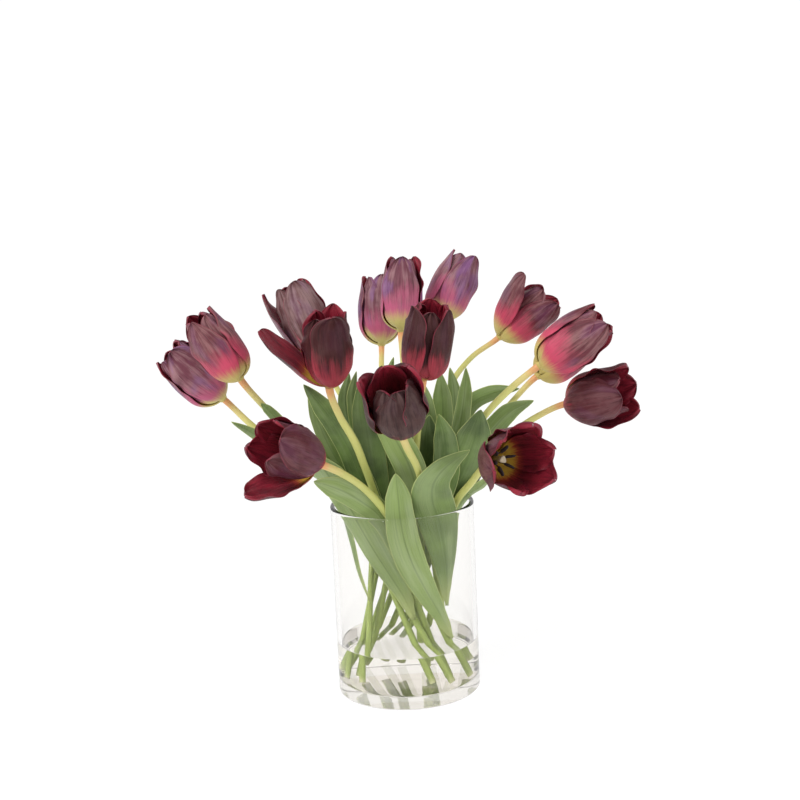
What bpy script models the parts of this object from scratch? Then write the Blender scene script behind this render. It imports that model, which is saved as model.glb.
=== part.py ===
"""Cut tulips in a clear glass cylinder vase: the glass, its water, fifteen flowers and their leaves.

The origin is the middle of the vase's foot, +Z is up and the front is towards -Y.
"""
import math
from typing import NamedTuple

import bmesh
import bpy
import numpy as np

MM = 0.001
GAP = 0.3

# Vase and water, in millimetres.
VASE_OUTER_RADIUS = 75.0
VASE_INNER_RADIUS = 70.1
VASE_HEIGHT = 200.0
GLASS_BASE = 12.0
FOOT_CHAMFER = 1.5
RIM_ROUND = 1.2
INNER_CORNER = 3.0
WATER_LEVEL = 52.5
VASE_SEGMENTS = 40

# Stems, leaves and petals, in millimetres.
STEM_SIDES = 6
STEM_STATIONS = 12
FOOT_LIFT = 0.72
LEAF_STATIONS = 9
LEAF_THICKNESS = 0.9
LEAF_FOLD = 0.16
KNOB_RADIUS = 5.2
KNOB_HEIGHT = 6.5
PETAL_THICKNESS = 1.1
PETAL_TILT = 0.03
FLARE = 82.0
CLOSING = 21.0

# How stems and leaves are kept apart: clearances in millimetres, and the balls that stand for a
# bloom as heights above its base and radii.
SIDE_CLEARANCE = 1.9
DEPTH_CLEARANCE = 1.3
WALL_CLEARANCE = 1.4
BLOOM_BALLS = ((14.0, 15.0), (34.0, 25.0), (56.0, 27.0))
OWN_BLOOM = 1000
SETTLE_TURNS = 900
SMOOTH_TURNS = 700

# Petal shape: how far along each row of points lies, and how wide the petal is there.
PETAL_ROWS = (0.0, 0.17, 0.42, 0.72, 1.0)
PETAL_WIDTH_AT = (0.0, 0.12, 0.3, 0.52, 0.72, 0.88, 1.0)
PETAL_WIDTHS = (0.15, 0.42, 0.82, 1.0, 0.9, 0.58, 0.12)
PETAL_COLUMNS = (-1.0, -0.35, 0.35, 1.0)

# Leaf shape: the share of the full width at points along the leaf, from sheath to tip.
LEAF_WIDTH_AT = (0.0, 0.12, 0.3, 0.55, 0.78, 0.92, 1.0)
LEAF_WIDTHS = (0.28, 0.4, 0.7, 1.0, 0.92, 0.64, 0.08)


class Whorl(NamedTuple):
    """What sets a bloom's outer three petals apart from its inner three."""

    inset: float
    start: float
    lift: float
    shorter: float


OUTER_WHORL = Whorl(0.0, 3.6, 1.6, 0.0)
INNER_WHORL = Whorl(3.4, 2.7, 4.2, 6.0)


class Flower(NamedTuple):
    """One flower: where its stem stands and passes, where its bloom sits and how it is formed."""

    name: str
    foot: tuple
    passes: tuple
    base: tuple
    aim: tuple
    stem_radius: float
    petal_length: float
    belly: float
    roll: float
    lean: float


# Stems rise as straight rods from the foot to the vase's mouth, turned about the axis like a
# hand-tied bunch, so that each leaves the mouth about 100 degrees round from its foot.
FLOWERS = (
    Flower("01", (41, -48), ((-54, -18, 200), (-149, -6, 287)), (-178, 0, 316), (-54, -12, 54),
           3.4, 86, 24.5, 20, 3),
    Flower("02", (22, -36), ((-49, -2, 200), (-118, -36, 295)), (-154, -52, 344), (-40, -18, 73),
           3.4, 88, 23.5, -20, 2),
    Flower("03", (-44, -38), ((-30, 27, 200), (-61, 83, 301)), (-84, 100, 343), (-31, 5, 84),
           3.2, 91, 26.0, 25, 4),
    Flower("04", (36, -18), ((-22, -34, 200), (-43, -58, 274)), (-66, -70, 335), (-2, -18, 77),
           3.9, 88, 25.5, 36, 1),
    Flower("05", (-58, -12), ((-10, 42, 196), (-16, 100, 322)), (-15, 125, 348), (1, 13, 77),
           3.2, 88, 25.0, 10, 2),
    Flower("06", (-44, -13), ((2, 18, 200), (8, 52, 335)), (7, 60, 371), (4, 5, 77),
           3.2, 88, 22.5, 0, 1),
    Flower("07", (-56, 16), ((19, 40, 198), (35, 85, 345)), (47, 100, 375), (35, 12, 73),
           3.2, 90, 24.5, 30, 1),
    Flower("08", (14, 32), ((12, -8, 206), (20, -34, 288)), (26, -60, 337), (11, -22, 77),
           3.8, 89, 24.5, 60, 3),
    Flower("09", (-48, 30), ((33, 42, 200), (54, 74, 300), (74, 90, 328)), (114, 105, 354), (53, -7, 45),
           3.2, 84, 24.5, 30, 8),
    Flower("10", (-6, 48), ((45, -2, 200), (88, -22, 291)), (143, -30, 341), (66, -12, 47),
           3.6, 92, 26.0, 10, 2),
    Flower("11", (-34, 44), ((49, 25, 200), (120, 50, 289)), (150, 60, 316), (69, 10, 46),
           3.3, 82, 23.0, 40, 3),
    Flower("12", (-18, 56), ((56, 6, 200), (126, 8, 271)), (174, 10, 294), (60, -38, 17),
           3.5, 84, 28.0, 0, 3),
    Flower("13", (44, 40), ((25, -40, 200), (19, -72, 244)), (2, -125, 300), (-7, -53, 60),
           3.8, 84, 29.5, 15, 4),
    Flower("14", (58, -10), ((-12, -52, 196), (-34, -72, 231)), (-77, -110, 268), (-53, -45, 34),
           3.8, 82, 26.0, 35, 8),
    Flower("15", (16, 56), ((53, -26, 200), (76, -68, 240)), (89, -95, 263), (29, -65, 8),
           3.8, 80, 25.0, 0, 12),
)

# Petals that stand apart from the rest: flower, petal (0-2 outer, 3-5 inner), extra turn about
# the bloom, extra lean and extra curl of the tip, in degrees.
ODD_PETALS = (
    ("03", 2, 0, 8, 6),
    ("04", 2, -8, 48, -14),
    ("04", 0, 0, 2, 12),
    ("09", 2, 30, 22, -16),
    ("09", 1, 0, 6, 10),
    ("12", 1, 0, 6, -8),
    ("12", 2, 0, 4, 6),
    ("12", 4, 0, 9, 8),
    ("13", 2, 0, 3, 26),
    ("13", 0, 0, -4, -20),
    ("14", 2, 10, 32, -10),
    ("14", 4, 0, 8, 4),
    ("15", 0, -10, 8, 4),
    ("15", 1, 12, 8, 6),
    ("15", 2, 0, 6, 8),
    ("15", 3, 0, 4, 0),
    ("15", 4, 0, 12, 0),
    ("15", 5, 0, 8, 0),
)

# Each leaf: points along its midrib from sheath to tip, full width, then the way its outer face
# looks at the sheath, halfway and at the tip, in degrees from +X.
LEAVES = (
    ("01", ((-38, -14, 97), (-50, -16, 139), (-58, -11, 182), (-66, -11, 205), (-95, -42, 247),
            (-128, -62, 280), (-164, -75, 307)), 17, (-140, -150, -90)),
    ("02", ((7, -44, 81), (-3, -50, 109), (-20, -50, 140), (-38, -44, 174), (-53, -35, 203),
            (-69, -48, 236), (-85, -74, 270)), 42, (-95, -138, -100)),
    ("03", ((2, -20, 128), (-9, -32, 165), (-22, -44, 199), (-40, -58, 219), (-60, -72, 235),
            (-85, -88, 249)), 27, (-95, -95, -100)),
    ("04", ((-18, -2, 125), (-28, -8, 176), (-43, -22, 216), (-66, -34, 252), (-81, -36, 289),
            (-90, -40, 330)), 17, (-90, -90, -90)),
    ("05", ((-14, -22, 144), (-27, -30, 205), (-43, -44, 245), (-54, -52, 278), (-72, -56, 309),
            (-92, -60, 338)), 24, (-90, -90, -90)),
    ("06", ((-22, 10, 140), (-31, 4, 195), (-46, -10, 231), (-58, -20, 260), (-63, -28, 287)),
     30, (-90, -90, -90)),
    ("07", ((-25, 30, 149), (-37, 26, 222), (-51, 18, 278), (-54, 8, 310), (-48, 0, 339)),
     18, (-90, -90, -90)),
    ("08", ((-18, 20, 158), (-28, 16, 224), (-42, 6, 279), (-46, 0, 311), (-41, -6, 341)),
     15, (-90, -90, -60)),
    ("09", ((-10, -10, 114), (-16, -18, 166), (-26, -34, 222), (-30, -38, 264), (-34, -34, 300),
            (-36, -28, 336)), 30, (-90, -90, -90)),
    ("10", ((-4, 0, 117), (-8, -6, 175), (-16, -16, 220), (-14, -20, 252), (-9, -20, 280)),
     22, (-90, -90, -90)),
    ("11", ((14, -30, 143), (16, -40, 188), (12, -52, 238), (2, -62, 265), (-9, -60, 286),
            (-24, -50, 312)), 31, (-90, -90, -90)),
    ("12", ((6, 2, 139), (15, -4, 194), (28, -14, 233), (29, -24, 266), (32, -26, 295)),
     29, (-90, -90, -90)),
    ("13", ((24, -8, 125), (34, -16, 191), (46, -28, 235), (47, -33, 268), (41, -31, 297)),
     28, (-90, -90, -90)),
    ("14", ((20, 20, 155), (32, 22, 218), (46, 22, 270), (47, 22, 302), (46, 22, 332)),
     23, (-90, -90, -90)),
    ("15", ((26, 30, 151), (42, 34, 214), (57, 36, 267), (61, 38, 298), (57, 40, 333)),
     18, (-90, -90, -90)),
    ("16", ((28, 14, 150), (42, 12, 205), (60, 8, 258), (68, 6, 298), (73, 2, 339)), 18, (-90, -90, -120)),
    ("17", ((33, 16, 128), (44, -8, 190), (60, -34, 229), (71, -42, 255), (79, -44, 278),
            (84, -40, 299)), 43, (-70, -85, -90)),
    ("18", ((38, 24, 130), (52, 26, 196), (76, 20, 239), (97, 14, 269), (117, 8, 290), (141, 6, 301)), 24,
     (-60, -80, -90)),
    ("19", ((32, 36, 143), (46, 44, 211), (61, 48, 264), (79, 48, 293), (103, 46, 304), (130, 42, 308)), 20,
     (-90, -90, -90)),
    ("20", ((22, 6, 179), (29, 2, 232), (34, -4, 276), (32, -8, 302), (27, -10, 327)), 13, (-90, -90, -90)),
    ("21", ((-7, 34, 172), (-9, 48, 224), (-13, 62, 276), (-11, 72, 312), (-2, 78, 343)),
     15, (-90, -90, -90)),
    ("22", ((43, -14, 89), (42, -36, 145), (36, -52, 192), (30, -68, 220), (35, -86, 244), (51, -96, 262),
            (68, -100, 274)), 44, (-40, -80, -90)),
    ("23", ((46, -26, 60), (35, -42, 89), (21, -54, 120), (7, -58, 153), (-1, -60, 185), (-3, -64, 215),
            (-5, -74, 249)), 31, (-60, -80, -90)),
    ("24", ((45, 12, 79), (51, 2, 130), (56, -8, 172), (59, -16, 196), (78, -28, 215), (95, -38, 234)), 20,
     (-20, -30, -60)),
    ("25", ((-95, -30, 268), (-110, -36, 288), (-123, -40, 304), (-136, -46, 320)), 11, (-90, -90, -90)),
    ("26", ((-20, 40, 120), (-24, 54, 200), (-40, 84, 262), (-58, 108, 300)), 30, (110, 110, 110)),
    ("27", ((6, 44, 110), (6, 58, 200), (14, 90, 258), (22, 122, 296)), 34, (90, 90, 85)),
    ("28", ((20, 46, 118), (28, 54, 200), (70, 84, 250), (98, 102, 272)), 28, (60, 60, 60)),
)

# Each look: colour, roughness and metallic value.
PETAL_LOOK = ((0.085, 0.012, 0.028, 1.0), 0.45, 0.0)
STEM_LOOK = ((0.42, 0.46, 0.13, 1.0), 0.5, 0.0)
LEAF_LOOK = ((0.13, 0.25, 0.08, 1.0), 0.5, 0.0)
GLASS_LOOK = ((0.86, 0.88, 0.86, 1.0), 0.05, 0.0)
WATER_LOOK = ((0.90, 0.89, 0.84, 1.0), 0.03, 0.0)


def clear_scene():
    for item in list(bpy.data.objects):
        bpy.data.objects.remove(item, do_unlink=True)


def node_material(name, look):
    """The node's own material, from a colour, a roughness and a metallic value."""
    colour, roughness, metallic = look
    material = bpy.data.materials.new(name + "_material")
    material.use_nodes = True
    shader = material.node_tree.nodes["Principled BSDF"]
    shader.inputs["Base Color"].default_value = colour
    shader.inputs["Roughness"].default_value = roughness
    shader.inputs["Metallic"].default_value = metallic
    material.diffuse_color = colour
    return material


def add_object(name, points, faces, look):
    """A closed mesh from points in millimetres, with its faces turned outwards."""
    mesh = bpy.data.meshes.new(name)
    mesh.from_pydata([tuple(float(c) * MM for c in point) for point in points], [], faces)
    build = bmesh.new()
    build.from_mesh(mesh)
    bmesh.ops.recalc_face_normals(build, faces=build.faces)
    build.to_mesh(mesh)
    build.free()
    for face in mesh.polygons:
        face.use_smooth = True
    mesh.materials.append(node_material(name, look))
    item = bpy.data.objects.new(name, mesh)
    bpy.context.scene.collection.objects.link(item)
    return item


def combine(item, other, operation):
    """Join another closed mesh to this one, or cut it away, and drop it."""
    step = item.modifiers.new("combine", "BOOLEAN")
    step.operation = operation
    step.solver = "EXACT"
    step.object = other
    bpy.context.view_layer.update()
    graph = bpy.context.evaluated_depsgraph_get()
    result = bpy.data.meshes.new_from_object(item.evaluated_get(graph))
    item.modifiers.clear()
    item.data = result
    bpy.data.objects.remove(other, do_unlink=True)


def smooth_step(low, high, value):
    share = np.clip((value - low) / (high - low), 0.0, 1.0)
    return share * share * (3.0 - 2.0 * share)


def unit(vectors):
    vectors = np.asarray(vectors, float)
    length = np.linalg.norm(vectors, axis=-1, keepdims=True)
    return vectors / np.maximum(length, 1e-9)


def smooth_path(points, count, start=None, end=None):
    """Points evenly spaced along a smooth curve through the given ones."""
    points = np.asarray(points, float)
    lengths = np.linalg.norm(np.diff(points, axis=0), axis=1)
    knots = np.concatenate(([0.0], np.cumsum(lengths)))
    slopes = np.gradient(points, knots, axis=0)
    if start is not None:
        slopes[0] = unit(start)
    if end is not None:
        slopes[-1] = unit(end)
    fine = np.linspace(0.0, knots[-1], 240)
    index = np.clip(np.searchsorted(knots, fine, side="right") - 1, 0, len(points) - 2)
    span = (knots[index + 1] - knots[index])[:, None]
    t = (fine[:, None] - knots[index][:, None]) / span
    curve = (2 * t**3 - 3 * t**2 + 1) * points[index] + (t**3 - 2 * t**2 + t) * span * slopes[index]
    curve += (3 * t**2 - 2 * t**3) * points[index + 1] + (t**3 - t**2) * span * slopes[index + 1]
    walked = np.concatenate(([0.0], np.cumsum(np.linalg.norm(np.diff(curve, axis=0), axis=1))))
    wanted = np.linspace(0.0, walked[-1], count)
    return np.stack([np.interp(wanted, walked, curve[:, k]) for k in range(3)], axis=-1)


def tangents(path):
    return unit(np.gradient(path, axis=0))


class Strand(NamedTuple):
    """A stem or a leaf before it is meshed: stations along it, and how wide it is at each."""

    name: str
    path: np.ndarray
    side: np.ndarray
    normal: np.ndarray
    half_width: np.ndarray
    radius: float
    pinned: np.ndarray


def stem_strand(flower):
    """The stem: a straight rod from its foot to the vase's mouth, then a curve to its bloom."""
    aim = unit(flower.aim)
    end = np.array(flower.base, float) - aim * GAP
    foot = np.array((*flower.foot, GLASS_BASE + GAP + FOOT_LIFT * flower.stem_radius))
    mouth = np.array(flower.passes[0], float)
    points = [foot, foot + (mouth - foot) * 0.55] + [np.array(p, float) for p in flower.passes] + [end]
    path = smooth_path(points, STEM_STATIONS, mouth - foot, aim)
    pinned = np.arange(STEM_STATIONS) >= STEM_STATIONS - 2
    none = np.zeros((STEM_STATIONS, 3))
    normal = np.tile(aim, (STEM_STATIONS, 1))
    return Strand("stem_" + flower.name, path, none, normal, none[:, 0], flower.stem_radius, pinned)


def leaf_strand(leaf):
    """The leaf's midrib, with the way across it and the way out of it at each station."""
    name, points, width, faces = leaf
    path = smooth_path(points, LEAF_STATIONS)
    along = tangents(path)
    share = np.linspace(0.0, 1.0, LEAF_STATIONS)
    angle = np.radians(np.interp(share, (0.0, 0.5, 1.0), faces))
    outward = np.stack([np.cos(angle), np.sin(angle), np.zeros_like(angle)], axis=-1)
    side = unit(np.cross(along, outward))
    normal = unit(np.cross(side, along))
    half = 0.5 * width * np.interp(share, LEAF_WIDTH_AT, LEAF_WIDTHS)
    pinned = np.zeros(LEAF_STATIONS, bool)
    return Strand("leaf_" + name, path, side, normal, half, LEAF_THICKNESS / 2, pinned)


def strand_point(strand, station, column):
    """A point across the strand: its margins fold back a little behind the middle."""
    half = strand.half_width[station]
    fold = strand.normal[station] * (half * LEAF_FOLD * abs(column))
    return strand.path[station] + strand.side[station] * (half * column) - fold


def strand_samples(strand, number, start):
    """Small balls that fill the strand, each tied to the two stations it lies between."""
    across = (0.0,) if strand.half_width.max() == 0.0 else (-1.0, -0.5, 0.0, 0.5, 1.0)
    rows = []
    for station in range(len(strand.path) - 1):
        length = np.linalg.norm(strand.path[station + 1] - strand.path[station])
        steps = max(2, int(math.ceil(length / 3.5)))
        for step in range(steps):
            share = step / steps
            for column in across:
                near = strand_point(strand, station, column)
                far = strand_point(strand, station + 1, column)
                place = near * (1 - share) + far * share
                rows.append((*place, start + station, share, strand.radius, number))
    last = len(strand.path) - 2
    rows.append((*strand.path[-1], start + last, 1.0, strand.radius, number))
    return rows


def bloom_samples(flower, number, start):
    """Three large balls that stand for a bloom, which does not move."""
    base = np.array(flower.base, float)
    aim = unit(flower.aim)
    rows = []
    for height, radius in BLOOM_BALLS:
        rows.append((*(base + aim * height), start, 0.0, radius, number))
    return rows


def close_pairs(samples):
    """Pairs of balls from two different pieces that cover one another seen from the front."""
    x, z, radius, owner = samples[:, 0], samples[:, 2], samples[:, 5], samples[:, 6]
    pairs = []
    for row in range(len(samples)):
        later = slice(row + 1, None)
        reach = radius[later] + radius[row] + SIDE_CLEARANCE
        near = (x[later] - x[row]) ** 2 + (z[later] - z[row]) ** 2 < reach**2
        near &= owner[later] != owner[row]
        near &= owner[later] != owner[row] + OWN_BLOOM
        pairs += [(row, other) for other in np.nonzero(near)[0] + row + 1]
    return np.array(pairs).T


def depth_rules(samples, a, b):
    """How far apart in depth each pair has to be, and which of its two pieces is in front."""
    clear = samples[a, 5] + samples[b, 5] + DEPTH_CLEARANCE
    apart = np.hypot(samples[a, 0] - samples[b, 0], samples[a, 2] - samples[b, 2])
    need = np.sqrt(np.maximum(clear**2 - apart**2, 0.55 * clear))
    _, group = np.unique(samples[a, 6] * 4000 + samples[b, 6], return_inverse=True)
    lead = np.bincount(group, need * (samples[b, 1] - samples[a, 1]))
    return need, np.where(lead >= 0.0, 1.0, -1.0)[group]


def depth_limit(samples):
    """How far from the middle each ball may be in depth: inside the glass below the rim."""
    room = VASE_INNER_RADIUS - samples[:, 5] - WALL_CLEARANCE
    limit = np.sqrt(np.maximum(room**2 - samples[:, 0] ** 2, 4.0))
    return np.where(samples[:, 2] < VASE_HEIGHT + 1.0, limit, 1000.0)


def settle(strands):
    """Slide stems and leaves towards the front or the back until none runs through another.

    Only their depth changes, and the order in which they lie is kept. Inside the vase they stay
    off the glass. Blooms and the tops of the stems stay where they are.
    """
    starts = np.cumsum([0] + [len(strand.path) for strand in strands])
    rows = []
    for number, strand in enumerate(strands):
        rows += strand_samples(strand, number, starts[number])
    for number, flower in enumerate(FLOWERS):
        rows += bloom_samples(flower, number + OWN_BLOOM, starts[-1])
    samples = np.array(rows)
    free = 1.0 - np.concatenate([strand.pinned for strand in strands] + [np.ones(2)])
    a, b = close_pairs(samples)
    need, order = depth_rules(samples, a, b)
    limit = depth_limit(samples)
    low = samples[:, 3].astype(int)
    share = samples[:, 4]
    shift = np.zeros(len(free))
    for turn in range(SETTLE_TURNS):
        y = samples[:, 1] + shift[low] * (1.0 - share) + shift[low + 1] * share
        short = np.maximum(need - order * (y[b] - y[a]), 0.0)
        hits = np.bincount(a, short > 0, len(y)) + np.bincount(b, short > 0, len(y))
        push = np.bincount(b, order * short, len(y)) - np.bincount(a, order * short, len(y))
        push *= 0.8 / np.maximum(hits, 1.0)
        wall = np.clip(y, -limit, limit) - y
        push = np.where(wall != 0.0, push * 0.3 + wall, push)
        active = ((hits > 0) | (wall != 0.0)).astype(float)
        moved = np.bincount(low, push * (1.0 - share), len(free))
        moved += np.bincount(low + 1, push * share, len(free))
        total = np.bincount(low, active * (1.0 - share), len(free))
        total += np.bincount(low + 1, active * share, len(free))
        shift += free * moved / np.maximum(total, 0.35)
        if turn < SMOOTH_TURNS:
            even_out(starts, shift, free)
    for number, strand in enumerate(strands):
        strand.path[:, 1] += shift[starts[number]:starts[number + 1]]


def even_out(starts, shift, free):
    """Spread each strand's slide along its length so that it stays a smooth curve."""
    for low, high in zip(starts[:-1], starts[1:]):
        part = shift[low:high]
        mean = np.concatenate(([part[1]], (part[:-2] + part[2:]) / 2, [part[-2]]))
        shift[low:high] += free[low:high] * 0.25 * (mean - part)


def stem_object(strand, look, swell=0.0, reach=0.0):
    """A round tube with flat ends around the stem's stations."""
    along = tangents(strand.path)
    along[-1] = strand.normal[-1]
    path = strand.path.copy()
    path[0] -= along[0] * reach
    across = unit(np.cross(along, np.array((0.0, 1.0, 0.0))))
    other = unit(np.cross(along, across))
    radius = strand.radius + swell
    points = []
    for centre, one, two in zip(path, across, other):
        for side in range(STEM_SIDES):
            turn = 2 * math.pi * side / STEM_SIDES
            points.append(centre + (one * math.cos(turn) + two * math.sin(turn)) * radius)
    faces = [tuple(range(STEM_SIDES))]
    for ring in range(len(path) - 1):
        for side in range(STEM_SIDES):
            low = ring * STEM_SIDES
            after = (side + 1) % STEM_SIDES
            faces.append((low + side, low + after, low + STEM_SIDES + after, low + STEM_SIDES + side))
    top = (len(path) - 1) * STEM_SIDES
    faces.append(tuple(range(top, top + STEM_SIDES)))
    return add_object(strand.name, points, faces, look)


def thin_sheet(front, back):
    """Points and faces of a closed sheet from two grids of points, one on each side of it."""
    rows, columns = front.shape[:2]
    points = list(front.reshape(-1, 3)) + list(back.reshape(-1, 3))
    below = rows * columns
    faces = []
    for i in range(rows - 1):
        for j in range(columns - 1):
            a, b = i * columns + j, i * columns + j + 1
            c, d = b + columns, a + columns
            faces.append((a, b, c, d))
            faces.append((a + below, d + below, c + below, b + below))
    edge = [j for j in range(columns)]
    edge += [i * columns + columns - 1 for i in range(1, rows)]
    edge += [(rows - 1) * columns + j for j in range(columns - 2, -1, -1)]
    edge += [i * columns for i in range(rows - 2, 0, -1)]
    for here, after in zip(edge, edge[1:] + edge[:1]):
        faces.append((here, here + below, after + below, after))
    return points, faces


def leaf_object(strand, look):
    """A thin blade folded along its midrib, tapering to a sheath and to a tip."""
    stations = range(len(strand.path))
    centre = np.array([[strand_point(strand, i, column) for column in (-1, 0, 1)] for i in stations])
    out = strand.normal[:, None, :] * LEAF_THICKNESS / 2
    points, faces = thin_sheet(centre + out, centre - out)
    return add_object(strand.name, points, faces, look)


def petal_profile(length, belly, start, lean, curl):
    """Where the petal's middle line runs: distance from the bloom's axis, height and slope."""
    fine = np.linspace(0.0, 1.0, 161)
    swell = (belly - start) / (0.59 * length)
    slope = FLARE * np.clip(1.0 - fine / swell, 0.0, 1.0) ** 1.2
    slope += lean * smooth_step(0.02, 0.55, fine) - CLOSING * smooth_step(0.4, 1.0, fine)
    slope = np.radians(slope + curl * smooth_step(0.72, 1.0, fine))
    middle = (slope[1:] + slope[:-1]) / 2
    step = length / (len(fine) - 1)
    out = start + np.concatenate(([0.0], np.cumsum(np.sin(middle) * step)))
    up = np.concatenate(([0.0], np.cumsum(np.cos(middle) * step)))
    return [np.interp(PETAL_ROWS, fine, values) for values in (out, up, slope)]


def petal_grid(flower, whorl, lean, curl):
    """Points and outward directions of one petal that stands over the +X side of the bloom."""
    belly = flower.belly - whorl.inset
    out, up, slope = petal_profile(flower.petal_length - whorl.shorter, belly, whorl.start, lean, curl)
    wide = 0.99 * belly * np.interp(PETAL_ROWS, PETAL_WIDTH_AT, PETAL_WIDTHS)
    points = np.zeros((len(PETAL_ROWS), len(PETAL_COLUMNS), 3))
    normals = np.zeros_like(points)
    for i in range(len(PETAL_ROWS)):
        bend = max(min(out[i], belly * 1.15), 3.0)
        face = np.array((math.cos(slope[i]), 0.0, -math.sin(slope[i])))
        for j, column in enumerate(PETAL_COLUMNS):
            angle = column * wide[i] / bend
            across = bend * math.sin(angle)
            inward = bend * (1.0 - math.cos(angle)) - PETAL_TILT * across
            points[i, j] = (out[i], across, up[i] + whorl.lift)
            points[i, j] -= face * inward
            normals[i, j] = face * math.cos(angle) + np.array((0.0, math.sin(angle), 0.0))
    return points, normals


def turn_grid(grid, degrees):
    turn = math.radians(degrees)
    spin = np.array(((math.cos(turn), -math.sin(turn), 0), (math.sin(turn), math.cos(turn), 0), (0, 0, 1)))
    return grid @ spin.T


def bloom_frame(base, aim):
    """Columns of the bloom's own directions: X towards the front, Z the way it looks."""
    up = unit(aim)
    front = np.array((0.0, -1.0, 0.0))
    front = unit(front - up * front.dot(up))
    return np.stack([front, np.cross(up, front), up], axis=1), np.array(base, float)


def petal_settings(flower):
    """Turn, lean, curl and whorl of the flower's six petals, three outside and three inside."""
    phase = int(flower.name)
    settings = []
    for index in range(6):
        inner = index >= 3
        turn = flower.roll + 120.0 * (index % 3) + (60.0 if inner else 0.0)
        lean = flower.lean + 1.2 * math.sin(2.1 * index + phase)
        curl = 4.0 * math.sin(1.7 * index + 2.0 * phase)
        for odd_name, odd, add_turn, add_lean, add_curl in ODD_PETALS:
            if odd_name == flower.name and odd == index:
                turn += add_turn
                lean += add_lean
                curl += add_curl
        settings.append((turn, lean, curl, inner))
    return settings


def knob_points(axes, base):
    """The small solid knob on which the petals stand."""
    points = []
    for height, share in ((0.0, 0.85), (KNOB_HEIGHT, 1.0)):
        for side in range(6):
            turn = math.pi * side / 3
            local = np.array((math.cos(turn), math.sin(turn), 0.0)) * KNOB_RADIUS * share
            local[2] = height
            points.append(base + axes @ local)
    faces = [tuple(range(6)), tuple(range(6, 12))]
    for side in range(6):
        after = (side + 1) % 6
        faces.append((side, after, 6 + after, 6 + side))
    return points, faces


def bloom_object(flower, look):
    """Six petals joined to their knob."""
    axes, base = bloom_frame(flower.base, flower.aim)
    points, faces = knob_points(axes, base)
    bloom = add_object("bloom_" + flower.name, points, faces, look)
    for turn, lean, curl, inner in petal_settings(flower):
        whorl = INNER_WHORL if inner else OUTER_WHORL
        grid, normal = petal_grid(flower, whorl, lean, curl)
        grid = turn_grid(grid, turn) @ axes.T + base
        normal = turn_grid(normal, turn) @ axes.T
        half = normal * PETAL_THICKNESS / 2
        points, faces = thin_sheet(grid + half, grid - half)
        petal = add_object("petal", points, faces, look)
        combine(bloom, petal, "UNION")
    return bloom


def lathe(name, profile, look):
    """A solid turned about Z from a profile that starts and ends on the axis."""
    points = [(0.0, 0.0, profile[0][1])]
    faces = []
    for radius, height in profile[1:-1]:
        for side in range(VASE_SEGMENTS):
            turn = 2 * math.pi * side / VASE_SEGMENTS
            points.append((radius * math.cos(turn), radius * math.sin(turn), height))
    points.append((0.0, 0.0, profile[-1][1]))
    rings = len(profile) - 2
    last = len(points) - 1
    for side in range(VASE_SEGMENTS):
        after = (side + 1) % VASE_SEGMENTS
        faces.append((0, 1 + after, 1 + side))
        top = 1 + (rings - 1) * VASE_SEGMENTS
        faces.append((top + side, top + after, last))
        for ring in range(rings - 1):
            low = 1 + ring * VASE_SEGMENTS
            faces.append((low + side, low + after, low + VASE_SEGMENTS + after, low + VASE_SEGMENTS + side))
    return add_object(name, points, faces, look)


def arc_points(centre_radius, centre_height, size, start, end, steps):
    """Points on a quarter round of a lathe profile, angles in degrees."""
    found = []
    for step in range(steps + 1):
        turn = math.radians(start + (end - start) * step / steps)
        found.append((centre_radius + size * math.cos(turn), centre_height + size * math.sin(turn)))
    return found


def vase_object(look):
    """The glass: a heavy base, a straight wall and a rounded rim."""
    profile = [(0.0, 0.0), (VASE_OUTER_RADIUS - FOOT_CHAMFER, 0.0), (VASE_OUTER_RADIUS, FOOT_CHAMFER)]
    profile += arc_points(VASE_OUTER_RADIUS - RIM_ROUND, VASE_HEIGHT - RIM_ROUND, RIM_ROUND, 0, 90, 2)
    profile += arc_points(VASE_INNER_RADIUS + RIM_ROUND, VASE_HEIGHT - RIM_ROUND, RIM_ROUND, 90, 180, 2)
    corner_radius = VASE_INNER_RADIUS - INNER_CORNER
    profile += arc_points(corner_radius, GLASS_BASE + INNER_CORNER, INNER_CORNER, 0, -90, 2)
    profile.append((0.0, GLASS_BASE))
    return lathe("vase", profile, look)


def water_object(stems, look):
    """The water: it fills the foot of the vase around the stems, a hair off the glass."""
    profile = [(0.0, GLASS_BASE + GAP)]
    corner_radius = VASE_INNER_RADIUS - INNER_CORNER
    corner = arc_points(corner_radius, GLASS_BASE + INNER_CORNER, INNER_CORNER - GAP, -90, 0, 2)
    profile += corner + [(VASE_INNER_RADIUS - GAP, WATER_LEVEL), (0.0, WATER_LEVEL)]
    water = lathe("water", profile, look)
    for stem in stems:
        combine(water, stem_object(stem, look, GAP, 6.0), "DIFFERENCE")
    return water


def build():
    clear_scene()
    stems = [stem_strand(flower) for flower in FLOWERS]
    leaves = [leaf_strand(leaf) for leaf in LEAVES]
    settle(stems + leaves)
    vase_object(GLASS_LOOK)
    water_object(stems, WATER_LOOK)
    for stem in stems:
        stem_object(stem, STEM_LOOK)
    for leaf in leaves:
        leaf_object(leaf, LEAF_LOOK)
    for flower in FLOWERS:
        bloom_object(flower, PETAL_LOOK)


build()
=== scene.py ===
"""The finished looks of cut tulips in a clear glass cylinder vase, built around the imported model.

Lengths are in millimetres until a mesh is made. The origin is the middle of the vase's foot, +Z is
up and the front is towards -Y.
"""

import logging
import math
from collections.abc import Sequence
from dataclasses import dataclass, field, replace
from enum import Enum

import bpy
import numpy as np
from mathutils import Matrix, Vector


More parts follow.
